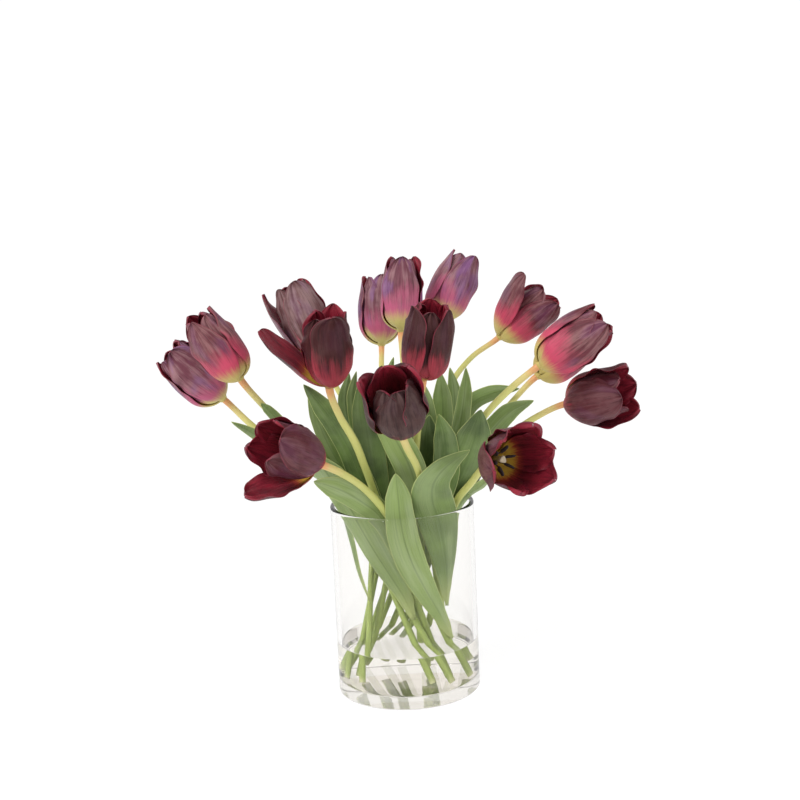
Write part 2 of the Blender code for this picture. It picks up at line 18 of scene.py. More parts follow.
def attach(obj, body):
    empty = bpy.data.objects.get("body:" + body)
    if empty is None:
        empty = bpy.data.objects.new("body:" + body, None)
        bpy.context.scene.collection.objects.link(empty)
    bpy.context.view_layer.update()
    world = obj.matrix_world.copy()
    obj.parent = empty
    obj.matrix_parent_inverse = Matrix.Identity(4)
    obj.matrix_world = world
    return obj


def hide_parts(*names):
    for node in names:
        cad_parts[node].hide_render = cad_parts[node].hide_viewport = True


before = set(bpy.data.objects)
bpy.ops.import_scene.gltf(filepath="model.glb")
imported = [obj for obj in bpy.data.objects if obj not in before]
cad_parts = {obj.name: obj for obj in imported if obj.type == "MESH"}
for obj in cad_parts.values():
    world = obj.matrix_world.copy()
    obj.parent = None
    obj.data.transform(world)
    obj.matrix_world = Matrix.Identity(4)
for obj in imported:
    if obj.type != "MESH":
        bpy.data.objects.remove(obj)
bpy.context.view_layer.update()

log = logging.getLogger("tulips")

MM = 0.001
BODY = "root"
PATH_STEPS = 240
STAMENS = 6
SHARP = 50.0
Colour = Point = tuple[float, float, float]
Profile = Sequence[tuple[float, float]]
Array = np.ndarray
Material = bpy.types.Material
Piece = bpy.types.Object


# ---- node trees


class Value:
    """A node's output that sums can be written with: each operator adds the Math node it needs."""

    def __init__(self, rule: "NodeRule", socket: bpy.types.NodeSocket) -> None:
        """Keep the tree and its output socket."""
        self.rule = rule
        self.socket = socket

    def maths(self, operation: str, *terms: "Value | float") -> "Value":
        """The result of a new Math node with these operands."""
        return self.rule.node("ShaderNodeMath", {"operation": operation}, dict(enumerate(terms)))

    def __add__(self, other: "Value | float") -> "Value":
        """The sum."""
        return self.maths("ADD", self, other)

    def __radd__(self, other: float) -> "Value":
        """The sum."""
        return self.maths("ADD", other, self)

    def __sub__(self, other: "Value | float") -> "Value":
        """The difference."""
        return self.maths("SUBTRACT", self, other)

    def __rsub__(self, other: float) -> "Value":
        """The difference."""
        return self.maths("SUBTRACT", other, self)

    def __mul__(self, other: "Value | float") -> "Value":
        """The product."""
        return self.maths("MULTIPLY", self, other)

    def __rmul__(self, other: float) -> "Value":
        """The product."""
        return self.maths("MULTIPLY", other, self)

    def __pow__(self, other: float) -> "Value":
        """The power."""
        return self.maths("POWER", self, other)

    def __abs__(self) -> "Value":
        """The size without the sign."""
        return self.maths("ABSOLUTE", self)

    def rise(self, low: float, high: float) -> "Value":
        """A smooth step up from 0 at `low` to 1 at `high`."""
        ends = {"Value": self, "From Min": low, "From Max": high}
        return self.rule.node("ShaderNodeMapRange", {"interpolation_type": "SMOOTHSTEP"}, ends)

    def fall(self, low: float, high: float) -> "Value":
        """A smooth step down from 1 at `low` to 0 at `high`."""
        return 1.0 - self.rise(low, high)


class NodeRule:
    """A node tree that is built one node at a time."""

    def __init__(self, tree: bpy.types.NodeTree) -> None:
        """Start from the tree, emptied."""
        self.tree = tree
        tree.nodes.clear()

    @staticmethod
    def socket(sockets: Sequence[bpy.types.NodeSocket], name: str | int) -> bpy.types.NodeSocket:
        """Find a socket that is in use.

        Args:
            sockets: a node's inputs or outputs.
            name: the socket's name, or its place among them.

        Returns:
            The socket.
        """
        if isinstance(name, int):
            return sockets[name]
        return next(found for found in sockets if found.name == name and found.enabled)

    def node(
        self,
        kind: str,
        settings: dict[str, object] | None = None,
        inputs: dict[str | int, object] | None = None,
        output: str | int = 0,
    ) -> Value:
        """Add any node.

        Args:
            kind: the node's type.
            settings: its own settings, set first; `stops` fills a colour ramp.
            inputs: a value or a link for each socket, by name or place.
            output: which output to return.

        Returns:
            That output.
        """
        made = self.tree.nodes.new(kind)
        for name, setting in (settings or {}).items():
            if name == "stops":
                self.fill_ramp(made.color_ramp, setting)
            else:
                setattr(made, name, setting)
        for name, value in (inputs or {}).items():
            target = self.socket(made.inputs, name)
            if isinstance(value, Value):
                self.tree.links.new(value.socket, target)
            elif target.type == "RGBA":
                target.default_value = (*value, 1.0)
            else:
                target.default_value = value
        return Value(self, self.socket(made.outputs, output))

    @staticmethod
    def fill_ramp(ramp: bpy.types.ColorRamp, stops: Sequence[tuple[float, Colour]]) -> None:
        """Set a ramp's stops.

        Args:
            ramp: the ramp to fill.
            stops: each stop's place and colour, in order.
        """
        ramp.interpolation = "EASE"
        while len(ramp.elements) < len(stops):
            ramp.elements.new(1.0)
        for element, (place, colour) in zip(ramp.elements, stops):
            element.position = place
            element.color = (*colour, 1.0)


class Surface(NodeRule):
    """One material's nodes."""

    def __init__(self, name: str) -> None:
        """Start the material.

        Args:
            name: the material's name.
        """
        self.material = bpy.data.materials.new(name)
        self.material.use_nodes = True
        super().__init__(self.material.node_tree)

    def mark(self, name: str) -> Value:
        """A number that the mesh holds at each point."""
        return self.node("ShaderNodeAttribute", {"attribute_name": name}, output="Fac")

    def place(self) -> Value:
        """The point's place in the object, in metres."""
        return self.node("ShaderNodeTexCoord", output="Object")

    def vector(self, x: Value | float, y: Value | float, z: Value | float) -> Value:
        """Three numbers as one vector."""
        return self.node("ShaderNodeCombineXYZ", inputs={0: x, 1: y, 2: z})

    def noise(self, where: Value, scale: float, detail: float = 2.0, roughness: float = 0.5) -> Value:
        """Smooth noise from 0 to 1, with `scale` blotches to one unit of `where`."""
        inputs = {"Vector": where, "Scale": scale, "Detail": detail, "Roughness": roughness}
        return self.node("ShaderNodeTexNoise", inputs=inputs)

    def mix(
        self, share: Value | float, low: Value | Colour, high: Value | Colour, blend: str = "MIX"
    ) -> Value:
        """The colour `low` with a share of `high` blended in."""
        settings = {"data_type": "RGBA", "blend_type": blend}
        return self.node("ShaderNodeMix", settings, {"Factor": share, "A": low, "B": high}, "Result")

    def ramp(self, share: Value, stops: Sequence[tuple[float, Colour]]) -> Value:
        """A colour that changes with a number, through stops at places from 0 to 1."""
        return self.node("ShaderNodeValToRGB", {"stops": stops}, {"Fac": share}, "Color")

    def bump(self, height: Value, depth: float) -> Value:
        """The normal of a relief that is `depth` millimetres deep."""
        return self.node("ShaderNodeBump", inputs={"Height": height, "Strength": 1.0, "Distance": depth * MM})

    def principled(self, inputs: dict[str | int, object]) -> Material:
        """Finish the material.

        Args:
            inputs: the shader's values and links.

        Returns:
            The material.
        """
        shader = self.node("ShaderNodeBsdfPrincipled", inputs=inputs)
        made = self.tree.nodes.new("ShaderNodeOutputMaterial")
        self.tree.links.new(shader.socket, made.inputs["Surface"])
        return self.material


class GeometryRule(NodeRule):
    """A Geometry Nodes tree with named inputs, which turns one object's mesh into a finished one."""

    KINDS = {float: "NodeSocketFloat", int: "NodeSocketInt", Material: "NodeSocketMaterial"}

    def __init__(self, name: str, inputs: dict[str, type]) -> None:
        """Start the tree.

        Args:
            name: the tree's name.
            inputs: the kind of each input, by name.
        """
        super().__init__(bpy.data.node_groups.new(name, "GeometryNodeTree"))
        self.tree.interface.new_socket("Geometry", in_out="INPUT", socket_type="NodeSocketGeometry")
        self.tree.interface.new_socket("Geometry", in_out="OUTPUT", socket_type="NodeSocketGeometry")
        for label, kind in inputs.items():
            self.tree.interface.new_socket(label, in_out="INPUT", socket_type=self.KINDS[kind])
        self.entry = self.tree.nodes.new("NodeGroupInput")

    def given(self, name: str) -> Value:
        """One of the tree's own inputs."""
        return Value(self, self.entry.outputs[name])

    def end(self, geometry: Value) -> None:
        """Realise what was made, give it its material and send it out.

        Args:
            geometry: what the tree made.
        """
        real = self.node("GeometryNodeRealizeInstances", inputs={"Geometry": geometry})
        inputs = {"Geometry": real, "Material": self.given("Material")}
        dressed = self.node("GeometryNodeSetMaterial", inputs=inputs)
        out = self.tree.nodes.new("NodeGroupOutput")
        self.tree.links.new(dressed.socket, out.inputs["Geometry"])

    def apply(self, piece: Piece, values: dict[str, object]) -> None:
        """Run the tree on a piece and keep the result as its plain mesh.

        Args:
            piece: the object that holds the starting mesh.
            values: the value of each input.
        """
        step = piece.modifiers.new("rule", "NODES")
        step.node_group = self.tree
        for item in self.tree.interface.items_tree:
            if item.in_out == "INPUT" and item.name in values:
                step[item.identifier] = values[item.name]
        graph = bpy.context.evaluated_depsgraph_get()
        made = bpy.data.meshes.new_from_object(piece.evaluated_get(graph))
        piece.modifiers.remove(step)
        piece.data = made


# ---- shapes


def smooth_step(low: float, high: float, value: Array) -> Array:
    """A smooth step from 0 at `low` to 1 at `high`."""
    share = np.clip((value - low) / (high - low), 0.0, 1.0)
    return share * share * (3.0 - 2.0 * share)


def unit(vectors: Sequence[float] | Array) -> Array:
    """The same vectors, one unit long."""
    vectors = np.asarray(vectors, float)
    return vectors / np.maximum(np.linalg.norm(vectors, axis=-1, keepdims=True), 1e-9)


def hermite(knots: Array, values: Array, slopes: Array, where: Array) -> Array:
    """A smooth curve through given values.

    Args:
        knots: where the values are, rising.
        values: one row for each knot.
        slopes: the curve's slope at each knot.
        where: where the curve is read.

    Returns:
        One row for each place that is read.
    """
    index = np.clip(np.searchsorted(knots, where, side="right") - 1, 0, len(knots) - 2)
    span = (knots[index + 1] - knots[index])[:, None]
    t = (where - knots[index])[:, None] / span
    curve = (2 * t**3 - 3 * t**2 + 1) * values[index] + (t**3 - 2 * t**2 + t) * span * slopes[index]
    return curve + (3 * t**2 - 2 * t**3) * values[index + 1] + (t**3 - t**2) * span * slopes[index + 1]


def smooth_path(points: Sequence, count: int, start: Array | None = None, end: Array | None = None) -> Array:
    """Points evenly spaced along a smooth curve through the given ones.

    Args:
        points: the points that the curve goes through.
        count: how many points to return.
        start: the direction at its start, if it is set.
        end: the direction at its end, if it is set.

    Returns:
        The points, one a row.
    """
    points = np.asarray(points, float)
    knots = np.concatenate(([0.0], np.cumsum(np.linalg.norm(np.diff(points, axis=0), axis=1))))
    slopes = np.gradient(points, knots, axis=0)
    if start is not None:
        slopes[0] = unit(start)
    if end is not None:
        slopes[-1] = unit(end)
    curve = hermite(knots, points, slopes, np.linspace(0.0, knots[-1], PATH_STEPS))
    walked = np.concatenate(([0.0], np.cumsum(np.linalg.norm(np.diff(curve, axis=0), axis=1))))
    wanted = np.linspace(0.0, walked[-1], count)
    return np.stack([np.interp(wanted, walked, curve[:, k]) for k in range(3)], axis=-1)


def smooth_rows(table: Array, where: Array) -> Array:
    """A table, whose rows are evenly spaced from 0 to 1, read on smooth curves between them."""
    knots = np.linspace(0.0, 1.0, len(table))
    return hermite(knots, table, np.gradient(table, knots, axis=0), where)


def outline(places: Sequence[float], widths: Sequence[float], where: Array) -> Array:
    """The share of the full width along a petal or a leaf, given at some places from 0 to 1."""
    knots, values = np.array(places), np.array(widths)[:, None]
    return hermite(knots, values, np.gradient(values, knots, axis=0), where)[:, 0]


@dataclass
class Shape:
    """Points, faces or links between them, and the numbers held at each point, for one mesh."""

    points: Array
    faces: list[tuple[int, ...]]
    marks: dict[str, Array] = field(default_factory=dict)
    links: list[tuple[int, int]] = field(default_factory=list)

    @classmethod
    def gathered(cls, shapes: Sequence["Shape"]) -> "Shape":
        """Several shapes as one.

        Args:
            shapes: the shapes, which hold the same marks.

        Returns:
            The one shape.
        """
        faces = []
        start = 0
        for shape in shapes:
            faces += [tuple(corner + start for corner in face) for face in shape.faces]
            start += len(shape.points)
        marks = {name: np.concatenate([shape.marks[name] for shape in shapes]) for name in shapes[0].marks}
        return cls(np.concatenate([shape.points for shape in shapes]), faces, marks)

    @classmethod
    def turned(cls, profile: Profile, sides: int, lobes: int = 0, lobe_depth: float = 0.0) -> "Shape":
        """A closed solid turned about Z.

        Args:
            profile: radius and height of points that run up its outer side, from axis to axis.
            sides: how many faces there are round it.
            lobes: how many lobes its section has.
            lobe_depth: how much of the radius the lobes add and take away.

        Returns:
            The solid.
        """
        turns = np.linspace(0.0, 2 * math.pi, sides, endpoint=False)
        swell = 1.0 + lobe_depth * np.cos(lobes * turns)
        points = [(0.0, 0.0, profile[0][1])]
        for radius, height in profile[1:-1]:
            points += [(r * math.cos(t), r * math.sin(t), height) for r, t in zip(radius * swell, turns)]
        points.append((0.0, 0.0, profile[-1][1]))
        rings, last = len(profile) - 2, len(points) - 1
        top = 1 + (rings - 1) * sides
        faces = []
        for side in range(sides):
            after = (side + 1) % sides
            faces.append((0, 1 + after, 1 + side))
            faces.append((top + side, top + after, last))
            for low in range(1, top, sides):
                faces.append((low + side, low + after, low + sides + after, low + sides + side))
        return cls(np.array(points), faces)

    @classmethod
    def sheet(cls, front: Array, back: Array, marks: dict[str, Array]) -> "Shape":
        """A closed thin sheet.

        Args:
            front: a grid of points on its front.
            back: a grid of points on its back.
            marks: a grid of numbers for each mark, the same on both sides.

        Returns:
            The sheet, with the mark `inside` 0 on its front and 1 on its back.
        """
        rows, columns = front.shape[:2]
        below = rows * columns
        grid = np.arange(below).reshape(rows, columns)
        a, b, c, d = grid[:-1, :-1], grid[:-1, 1:], grid[1:, 1:], grid[1:, :-1]
        quads = np.stack([a, b, c, d], axis=-1).reshape(-1, 4)
        under = np.stack([a, d, c, b], axis=-1).reshape(-1, 4) + below
        edge = np.concatenate([grid[0, :], grid[1:, -1], grid[-1, -2::-1], grid[-2:0:-1, 0]])
        after = np.roll(edge, -1)
        rim = np.stack([edge, edge + below, after + below, after], axis=-1)
        faces = [tuple(face) for face in np.concatenate([quads, under, rim]).tolist()]
        held = {name: np.tile(grid_values.reshape(-1), 2) for name, grid_values in marks.items()}
        held["inside"] = np.repeat([0.0, 1.0], below)
        return cls(np.concatenate([front.reshape(-1, 3), back.reshape(-1, 3)]), faces, held)

    def placed(self, axes: Array, base: Array) -> "Shape":
        """The shape carried into other axes, whose directions are columns, from a base point."""
        return replace(self, points=self.points @ axes.T + base)

    def marked(self, **values: float | Array) -> "Shape":
        """The shape with these marks, each one number or one for each point."""
        marks = {name: np.broadcast_to(value, len(self.points)).copy() for name, value in values.items()}
        return replace(self, marks=marks)

    def as_object(self, name: str, material: Material | None = None, sharp: float | None = None) -> Piece:
        """Make the mesh object.

        Args:
            name: the object's name.
            material: its material, if it has one yet.
            sharp: the angle in degrees past which an edge stays sharp, if any does.

        Returns:
            The object, at the origin, with its place in its mesh.
        """
        mesh = bpy.data.meshes.new(name)
        mesh.from_pydata((self.points * MM).tolist(), self.links, self.faces)
        for mark, values in self.marks.items():
            mesh.attributes.new(mark, "FLOAT", "POINT").data.foreach_set("value", values.astype(np.float32))
        mesh.shade_smooth()
        if sharp is not None:
            mesh.set_sharp_from_angle(angle=math.radians(sharp))
        if material is not None:
            mesh.materials.append(material)
        piece = bpy.data.objects.new(name, mesh)
        bpy.context.scene.collection.objects.link(piece)
        return piece


@dataclass(frozen=True)
class Blade:
    """A thin blade's thickness in the middle and at its margin, and how wide its two edges' bands are."""

    thick: float
    thin: float
    soft: float
    rim: float

    def sheet(self, middle: Array, normal: Array, t: Array, c: Array, off: Array, **marks: float) -> Shape:
        """Give a blade its two faces.

        Args:
            middle: a grid of points halfway through it.
            normal: the way out of its front at each of them.
            t: the place along it, as a column.
            c: the place across it, as a row.
            off: how far each point is from the margin, in millimetres.
            marks: numbers that are the same all over it.

        Returns:
            The blade.
        """
        depth = self.thin + (self.thick - self.thin) * smooth_step(0.0, self.soft, off)
        out, full = normal * depth[..., None] / 2, np.ones_like(off)
        held = {name: value * full for name, value in {"along": t, "across": c, **marks}.items()}
        held["rim"] = np.clip(1.0 - off / self.rim, 0.0, 1.0)
        return Shape.sheet(middle + out, middle - out, held)


def arc(radius: float, height: float, size: float, start: float, end: float, steps: int) -> Profile:
    """A round stretch of a profile: its centre, its own radius and its two angles in degrees."""
    turns = np.radians(np.linspace(start, end, steps + 1))
    return [(radius + size * math.cos(t), height + size * math.sin(t)) for t in turns]


def corner_points(node: str) -> Array:
    """The different corners of a CAD node.

    Args:
        node: the node's name.

    Returns:
        The corners in millimetres, one a row.
    """
    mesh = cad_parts[node].data
    flat = np.empty(len(mesh.vertices) * 3)
    mesh.vertices.foreach_get("co", flat)
    return np.unique(np.round(flat.reshape(-1, 3) / MM, 3), axis=0)


def present(piece: Piece, slot: str, *nodes: str) -> None:
    """Let a finished piece ride on the body, in the place of its CAD nodes.

    Args:
        piece: the piece.
        slot: not used.
        nodes: the CAD nodes it stands for.
    """
    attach(piece, BODY)
    if nodes:
        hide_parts(*nodes)
    log.info("%s: %d faces", piece.name, len(piece.data.polygons))


# ---- finishes


@dataclass(frozen=True)
class PetalFinish:
    """Waxy petals: dark above, flushed lower down, olive at the base, crimson inside."""

    name: str
    body: Colour
    bloom: Colour
    flush: Colour
    base: Colour
    flush_end: float
    base_end: float
    violet_share: float
    inner: Colour = (0.270, 0.015, 0.032)
    inner_dark: Colour = (0.070, 0.006, 0.012)
    throat: Colour = (0.62, 0.40, 0.05)
    violet: Colour = (0.23, 0.10, 0.30)
    margin: Colour = (0.26, 0.030, 0.055)

    def outer_colour(self, surface: Surface, streak: Value, cloud: Value, blot: Value) -> Value:
        """The outside's colour.

        Args:
            surface: the material.
            streak: fine streaks along the petal.
            cloud: soft blotches in space.
            blot: broad blotches on the petal.

        Returns:
            The colour.
        """
        along, across, rim, tone = (surface.mark(name) for name in ("along", "across", "rim", "tone"))
        edge = abs(across)
        colour = surface.mix(cloud.rise(0.40, 0.60), self.body, self.bloom)
        colour = surface.mix(blot.rise(0.48, 0.66) * self.violet_share, colour, self.violet)
        dark = tuple(0.35 * part for part in self.body)
        colour = surface.mix(streak.rise(0.50, 0.72) * 0.65, colour, dark)
        shift = (tone - 0.5) * 0.16
        reach = along + (streak - 0.5) * 0.38 + (blot - 0.5) * 0.50 - edge * edge * 0.12 + shift
        colour = surface.mix(reach.fall(self.flush_end * 0.40, self.flush_end), colour, self.flush)
        low = along + (streak - 0.5) * 0.20 + edge * 0.04 + shift
        colour = surface.mix(low.fall(self.base_end * 0.42, self.base_end), colour, self.base)
        vein = edge.fall(0.0, 0.06) * along.rise(0.1, 0.3) * 0.14
        colour = surface.mix(vein, colour, tuple(1.4 * part for part in self.bloom))
        worn = rim.rise(0.45, 1.0) * along.rise(0.2, 0.5) * cloud.rise(0.34, 0.56)
        return surface.mix(worn * 0.8, colour, self.margin)

    def inner_colour(self, surface: Surface, streak: Value, cloud: Value) -> Value:
        """The inside's colour.

        Args:
            surface: the material.
            streak: fine streaks along the petal.
            cloud: soft blotches in space.

        Returns:
            The colour.
        """
        along, rim = surface.mark("along"), surface.mark("rim")
        depth = along.fall(0.35, 0.95) * 0.35 + cloud.rise(0.38, 0.66) * 0.65
        colour = surface.mix(depth, self.inner, self.inner_dark)
        darkest = tuple(0.5 * part for part in self.inner_dark)
        colour = surface.mix(streak.rise(0.48, 0.70) * 0.6, colour, darkest)
        low = along + (streak - 0.5) * 0.2
        colour = surface.mix(low.fall(0.24, 0.42), colour, (0.34, 0.05, 0.025))
        colour = surface.mix(low.fall(0.18, 0.32), colour, self.throat)
        return surface.mix(rim.rise(0.5, 1.0) * along.rise(0.3, 0.5) * 0.5, colour, self.margin)

    def material(self) -> Material:
        """Make the finish's nodes.

        Returns:
            The material.
        """
        surface = Surface("petal_" + self.name)
        along, across, seed = (surface.mark(name) for name in ("along", "across", "seed"))
        streak = surface.noise(surface.vector(across * 3.4, along * 0.8, seed * 40.0), 5.0, 4.0, 0.66)
        mottle = surface.noise(surface.place(), 40.0, 3.0, 0.6)
        drift = surface.noise(surface.vector(across * 2.0, along * 0.9, seed * 31.0), 2.6, 3.0)
        cloud = mottle * 0.45 + drift * 0.55
        blot = surface.noise(surface.vector(across * 0.8, along * 1.3, seed * 23.0), 1.9, 2.0)
        outer = self.outer_colour(surface, streak, cloud, blot)
        inner = self.inner_colour(surface, streak, cloud)
        inside = surface.mark("inside").rise(0.3, 0.7)
        wrinkle = surface.noise(surface.vector(across * 1.4, along * 1.8, seed * 11.0), 9.0, 3.0)
        height = streak * 0.6 + wrinkle * 0.4
        return surface.principled({
            "Base Color": surface.mix(inside, outer, inner),
            "Roughness": 0.42 + cloud * 0.12 - inside * 0.06,
            "Sheen Weight": 0.03,
            "Sheen Roughness": 0.4,
            "Sheen Tint": (0.95, 0.60, 0.70),
            "Specular IOR Level": 0.24,
            "Normal": surface.bump(height, 0.9),
        })


class Tint(Enum):
    """How a bloom is coloured."""

    CRIMSON = PetalFinish(
        "crimson", (0.044, 0.005, 0.006), (0.066, 0.020, 0.020), (0.36, 0.036, 0.056), (0.46, 0.26, 0.08),
        0.52, 0.14, 0.03,
    )
    DARK = PetalFinish(
        "dark", (0.036, 0.010, 0.010), (0.078, 0.040, 0.036), (0.26, 0.030, 0.045), (0.42, 0.22, 0.07),
        0.30, 0.10, 0.02,
    )
    DEEP = PetalFinish(
        "deep", (0.084, 0.014, 0.020), (0.138, 0.048, 0.054), (0.38, 0.032, 0.060), (0.46, 0.26, 0.08),
        0.34, 0.10, 0.07,
    )
    ROSE = PetalFinish(
        "rose", (0.118, 0.024, 0.034), (0.240, 0.104, 0.108), (0.54, 0.062, 0.120), (0.58, 0.47, 0.15),
        0.64, 0.36, 0.14,
    )
    VIOLET = PetalFinish(
        "violet", (0.150, 0.042, 0.062), (0.290, 0.145, 0.160), (0.48, 0.100, 0.190), (0.60, 0.52, 0.18),
        0.62, 0.36, 0.50,
    )
    GREY = PetalFinish(
        "grey", (0.115, 0.042, 0.044), (0.265, 0.160, 0.160), (0.42, 0.080, 0.110), (0.46, 0.32, 0.10),
        0.32, 0.12, 0.14,
    )


@dataclass(frozen=True)
class LeafFinish:
    """Fleshy leaves with fine parallel veins, a pale margin and a greyer back."""

    fresh: Colour = (0.140, 0.225, 0.052)
    shade: Colour = (0.052, 0.092, 0.020)
    # pale is mixed in by the tone mark: painted light on leaves that stand in the light.
    pale: Colour = (0.255, 0.350, 0.100)
    bloom: Colour = (0.330, 0.410, 0.200)
    back: Colour = (0.230, 0.300, 0.120)
    margin: Colour = (0.480, 0.540, 0.190)
    sheath: Colour = (0.420, 0.480, 0.170)

    def material(self) -> Material:
        """Make the finish's nodes.

        Returns:
            The material.
        """
        surface = Surface("tulip_leaf")
        along, across, seed, rim = (surface.mark(name) for name in ("along", "across", "seed", "rim"))
        edge = abs(across)
        veins = surface.noise(surface.vector(across * 5.5, along * 0.6, seed * 31.0), 5.0, 3.0, 0.6)
        fine = surface.noise(surface.vector(across * 16.0, along * 0.8, seed * 17.0), 5.0, 2.0, 0.5)
        cloud = surface.noise(surface.place(), 26.0, 3.0, 0.55)
        broad = surface.noise(surface.vector(across * 0.9, along * 2.2, seed * 19.0), 1.5, 2.0)
        # The tone mark is painted light and shade: it mixes in the pale colour and more bloom on leaves
        # painted as lit.
        tone = surface.mark("tone")
        colour = surface.mix(cloud.rise(0.36, 0.66), self.shade, self.fresh)
        colour = surface.mix(tone, colour, self.pale)
        colour = surface.mix(broad.rise(0.42, 0.68) * (tone * 0.5 + 0.2), colour, self.bloom)
        colour = surface.mix(veins.rise(0.5, 0.72) * 0.4, colour, self.shade)
        colour = surface.mix(fine.rise(0.5, 0.7) * 0.25, colour, self.bloom)
        colour = surface.mix(edge.fall(0.0, 0.10) * 0.35, colour, self.shade)
        inside = surface.mark("inside").rise(0.3, 0.7)
        colour = surface.mix(inside * 0.7, colour, self.back)
        colour = surface.mix(along.fall(0.02, 0.22) * 0.75, colour, self.sheath)
        colour = surface.mix(rim.rise(0.45, 0.9) * 0.85, colour, self.margin)
        height = veins * 0.6 + fine * 0.4
        return surface.principled({
            "Base Color": colour,
            "Roughness": 0.42 + cloud * 0.12 + inside * 0.06,
            "Sheen Weight": 0.12,
            "Sheen Roughness": 0.5,
            "Sheen Tint": (0.85, 0.95, 0.85),
            "Specular IOR Level": 0.45,
            "Normal": surface.bump(height, 0.35),
        })


@dataclass(frozen=True)
class StemFinish:
    """Stems: green at the foot, yellow-green above, flushed orange under the bloom."""

    stops: tuple[tuple[float, Colour], ...] = (
        (0.0, (0.50, 0.52, 0.28)),
        (0.02, (0.30, 0.38, 0.10)),
        (0.35, (0.34, 0.42, 0.11)),
        (0.62, (0.46, 0.50, 0.13)),
        (0.88, (0.60, 0.59, 0.19)),
        (0.955, (0.70, 0.58, 0.22)),
        (0.99, (0.78, 0.38, 0.16)),
    )

    def material(self) -> Material:
        """Make the finish's nodes.

        Returns:
            The material.
        """
        surface = Surface("tulip_stem")
        along = surface.mark("along")
        ring = surface.node("ShaderNodeAttribute", {"attribute_name": "ring"}, output="Vector")
        stretch = surface.vector(0.0, 0.0, along * 5.0)
        where = surface.node("ShaderNodeVectorMath", {"operation": "ADD"}, {0: ring, 1: stretch})
        ribs = surface.noise(where, 3.2, 3.0, 0.6)
        cloud = surface.noise(surface.place(), 60.0, 3.0)
        colour = surface.ramp(along + (ribs - 0.5) * 0.05, self.stops)
        colour = surface.mix(cloud.rise(0.42, 0.7) * 0.4, colour, (0.86, 0.90, 0.80), "MULTIPLY")
        colour = surface.mix(ribs.rise(0.5, 0.75) * 0.35, colour, (0.78, 0.86, 0.66), "MULTIPLY")
        return surface.principled({
            "Base Color": colour,
            "Roughness": 0.38 + cloud * 0.14,
            "Specular IOR Level": 0.45,
            "Normal": surface.bump(ribs, 0.25),
        })


@dataclass(frozen=True)
class StamenFinish:
    """Pale filaments under dark, grainy anthers."""

    filament: Colour = (0.42, 0.30, 0.07)
    filament_top: Colour = (0.10, 0.06, 0.06)
    anther: Colour = (0.035, 0.026, 0.034)
    pollen: Colour = (0.115, 0.095, 0.100)

    def material(self) -> Material:
        """Make the finish's nodes.

        Returns:
            The material.
        """
        surface = Surface("tulip_stamen")
        along, anther = surface.mark("along"), surface.mark("anther")
        grain = surface.noise(surface.place(), 1400.0, 3.0, 0.7)
        stalk = surface.mix(along.rise(0.25, 0.9), self.filament, self.filament_top)
        dust = surface.mix(grain.rise(0.45, 0.68), self.anther, self.pollen)
        return surface.principled({
            "Base Color": surface.mix(anther, stalk, dust),
            "Roughness": 0.45 + anther * 0.4,
            "Normal": surface.bump(grain, 0.35),
        })


@dataclass(frozen=True)
class PistilFinish:
    """A cream column with a velvety three-lobed top."""

    column: Colour = (0.50, 0.48, 0.22)
    top: Colour = (0.78, 0.70, 0.50)

    def material(self) -> Material:
        """Make the finish's nodes.

        Returns:
            The material.
        """
        surface = Surface("tulip_pistil")
        along = surface.mark("along")
        grain = surface.noise(surface.place(), 700.0, 3.0, 0.6)
        colour = surface.mix(along.rise(0.55, 0.85), self.column, self.top)
        return surface.principled({
            "Base Color": surface.mix(grain.rise(0.5, 0.8) * 0.5, colour, (0.80, 0.74, 0.56), "MULTIPLY"),
            "Roughness": 0.5 + along * 0.3,
            "Normal": surface.bump(grain, 0.2),
        })


@dataclass(frozen=True)
class ClearFinish:
    """Something clear, which darkens a little where it is seen edge on."""

    name: str
    face: Colour
    edge: Colour
    index: float
    ripple: float
    ripple_depth: float

    def material(self) -> Material:
        """Make the finish's nodes.

        Returns:
            The material.
        """
        surface = Surface(self.name)
        facing = surface.node("ShaderNodeLayerWeight", inputs={"Blend": 0.5}, output="Facing")
        waves = surface.noise(surface.place(), self.ripple, 2.0)
        smear = surface.noise(surface.place(), 34.0, 4.0, 0.6)
        return surface.principled({
            "Base Color": surface.mix(facing ** 3.0, self.face, self.edge),
            "Roughness": smear.rise(0.5, 0.8) * 0.012,
            "IOR": self.index,
            "Transmission Weight": 1.0,
            "Normal": surface.bump(waves, self.ripple_depth),
        })


GLASS_FINISH = ClearFinish("vase_glass", (0.974, 0.968, 0.957), (0.86, 0.845, 0.83), 1.25, 14.0, 0.10)
WATER_FINISH = ClearFinish("vase_water", (0.955, 0.932, 0.895), (0.84, 0.81, 0.76), 1.2, 45.0, 0.12)


@dataclass(frozen=True)
class FloorFinish:
    """A plain, pale, matt floor, lit a little from within like a light table."""

    pale: Colour = (0.25, 0.25, 0.25)
    soft: Colour = (0.23, 0.23, 0.23)
    glow: Colour = (1.0, 1.0, 1.0)

    def material(self) -> Material:
        """Make the finish's nodes.

        Returns:
            The material.
        """
        surface = Surface("pale_floor")
        cloud = surface.noise(surface.place(), 3.0, 2.0)
        colour = surface.mix(cloud, self.pale, self.soft)
        return surface.principled({
            "Base Color": colour,
            "Roughness": 0.9,
            "Specular IOR Level": 0.1,
            "Emission Color": self.glow,
            "Emission Strength": 0.80,
        })


# ---- vase and water


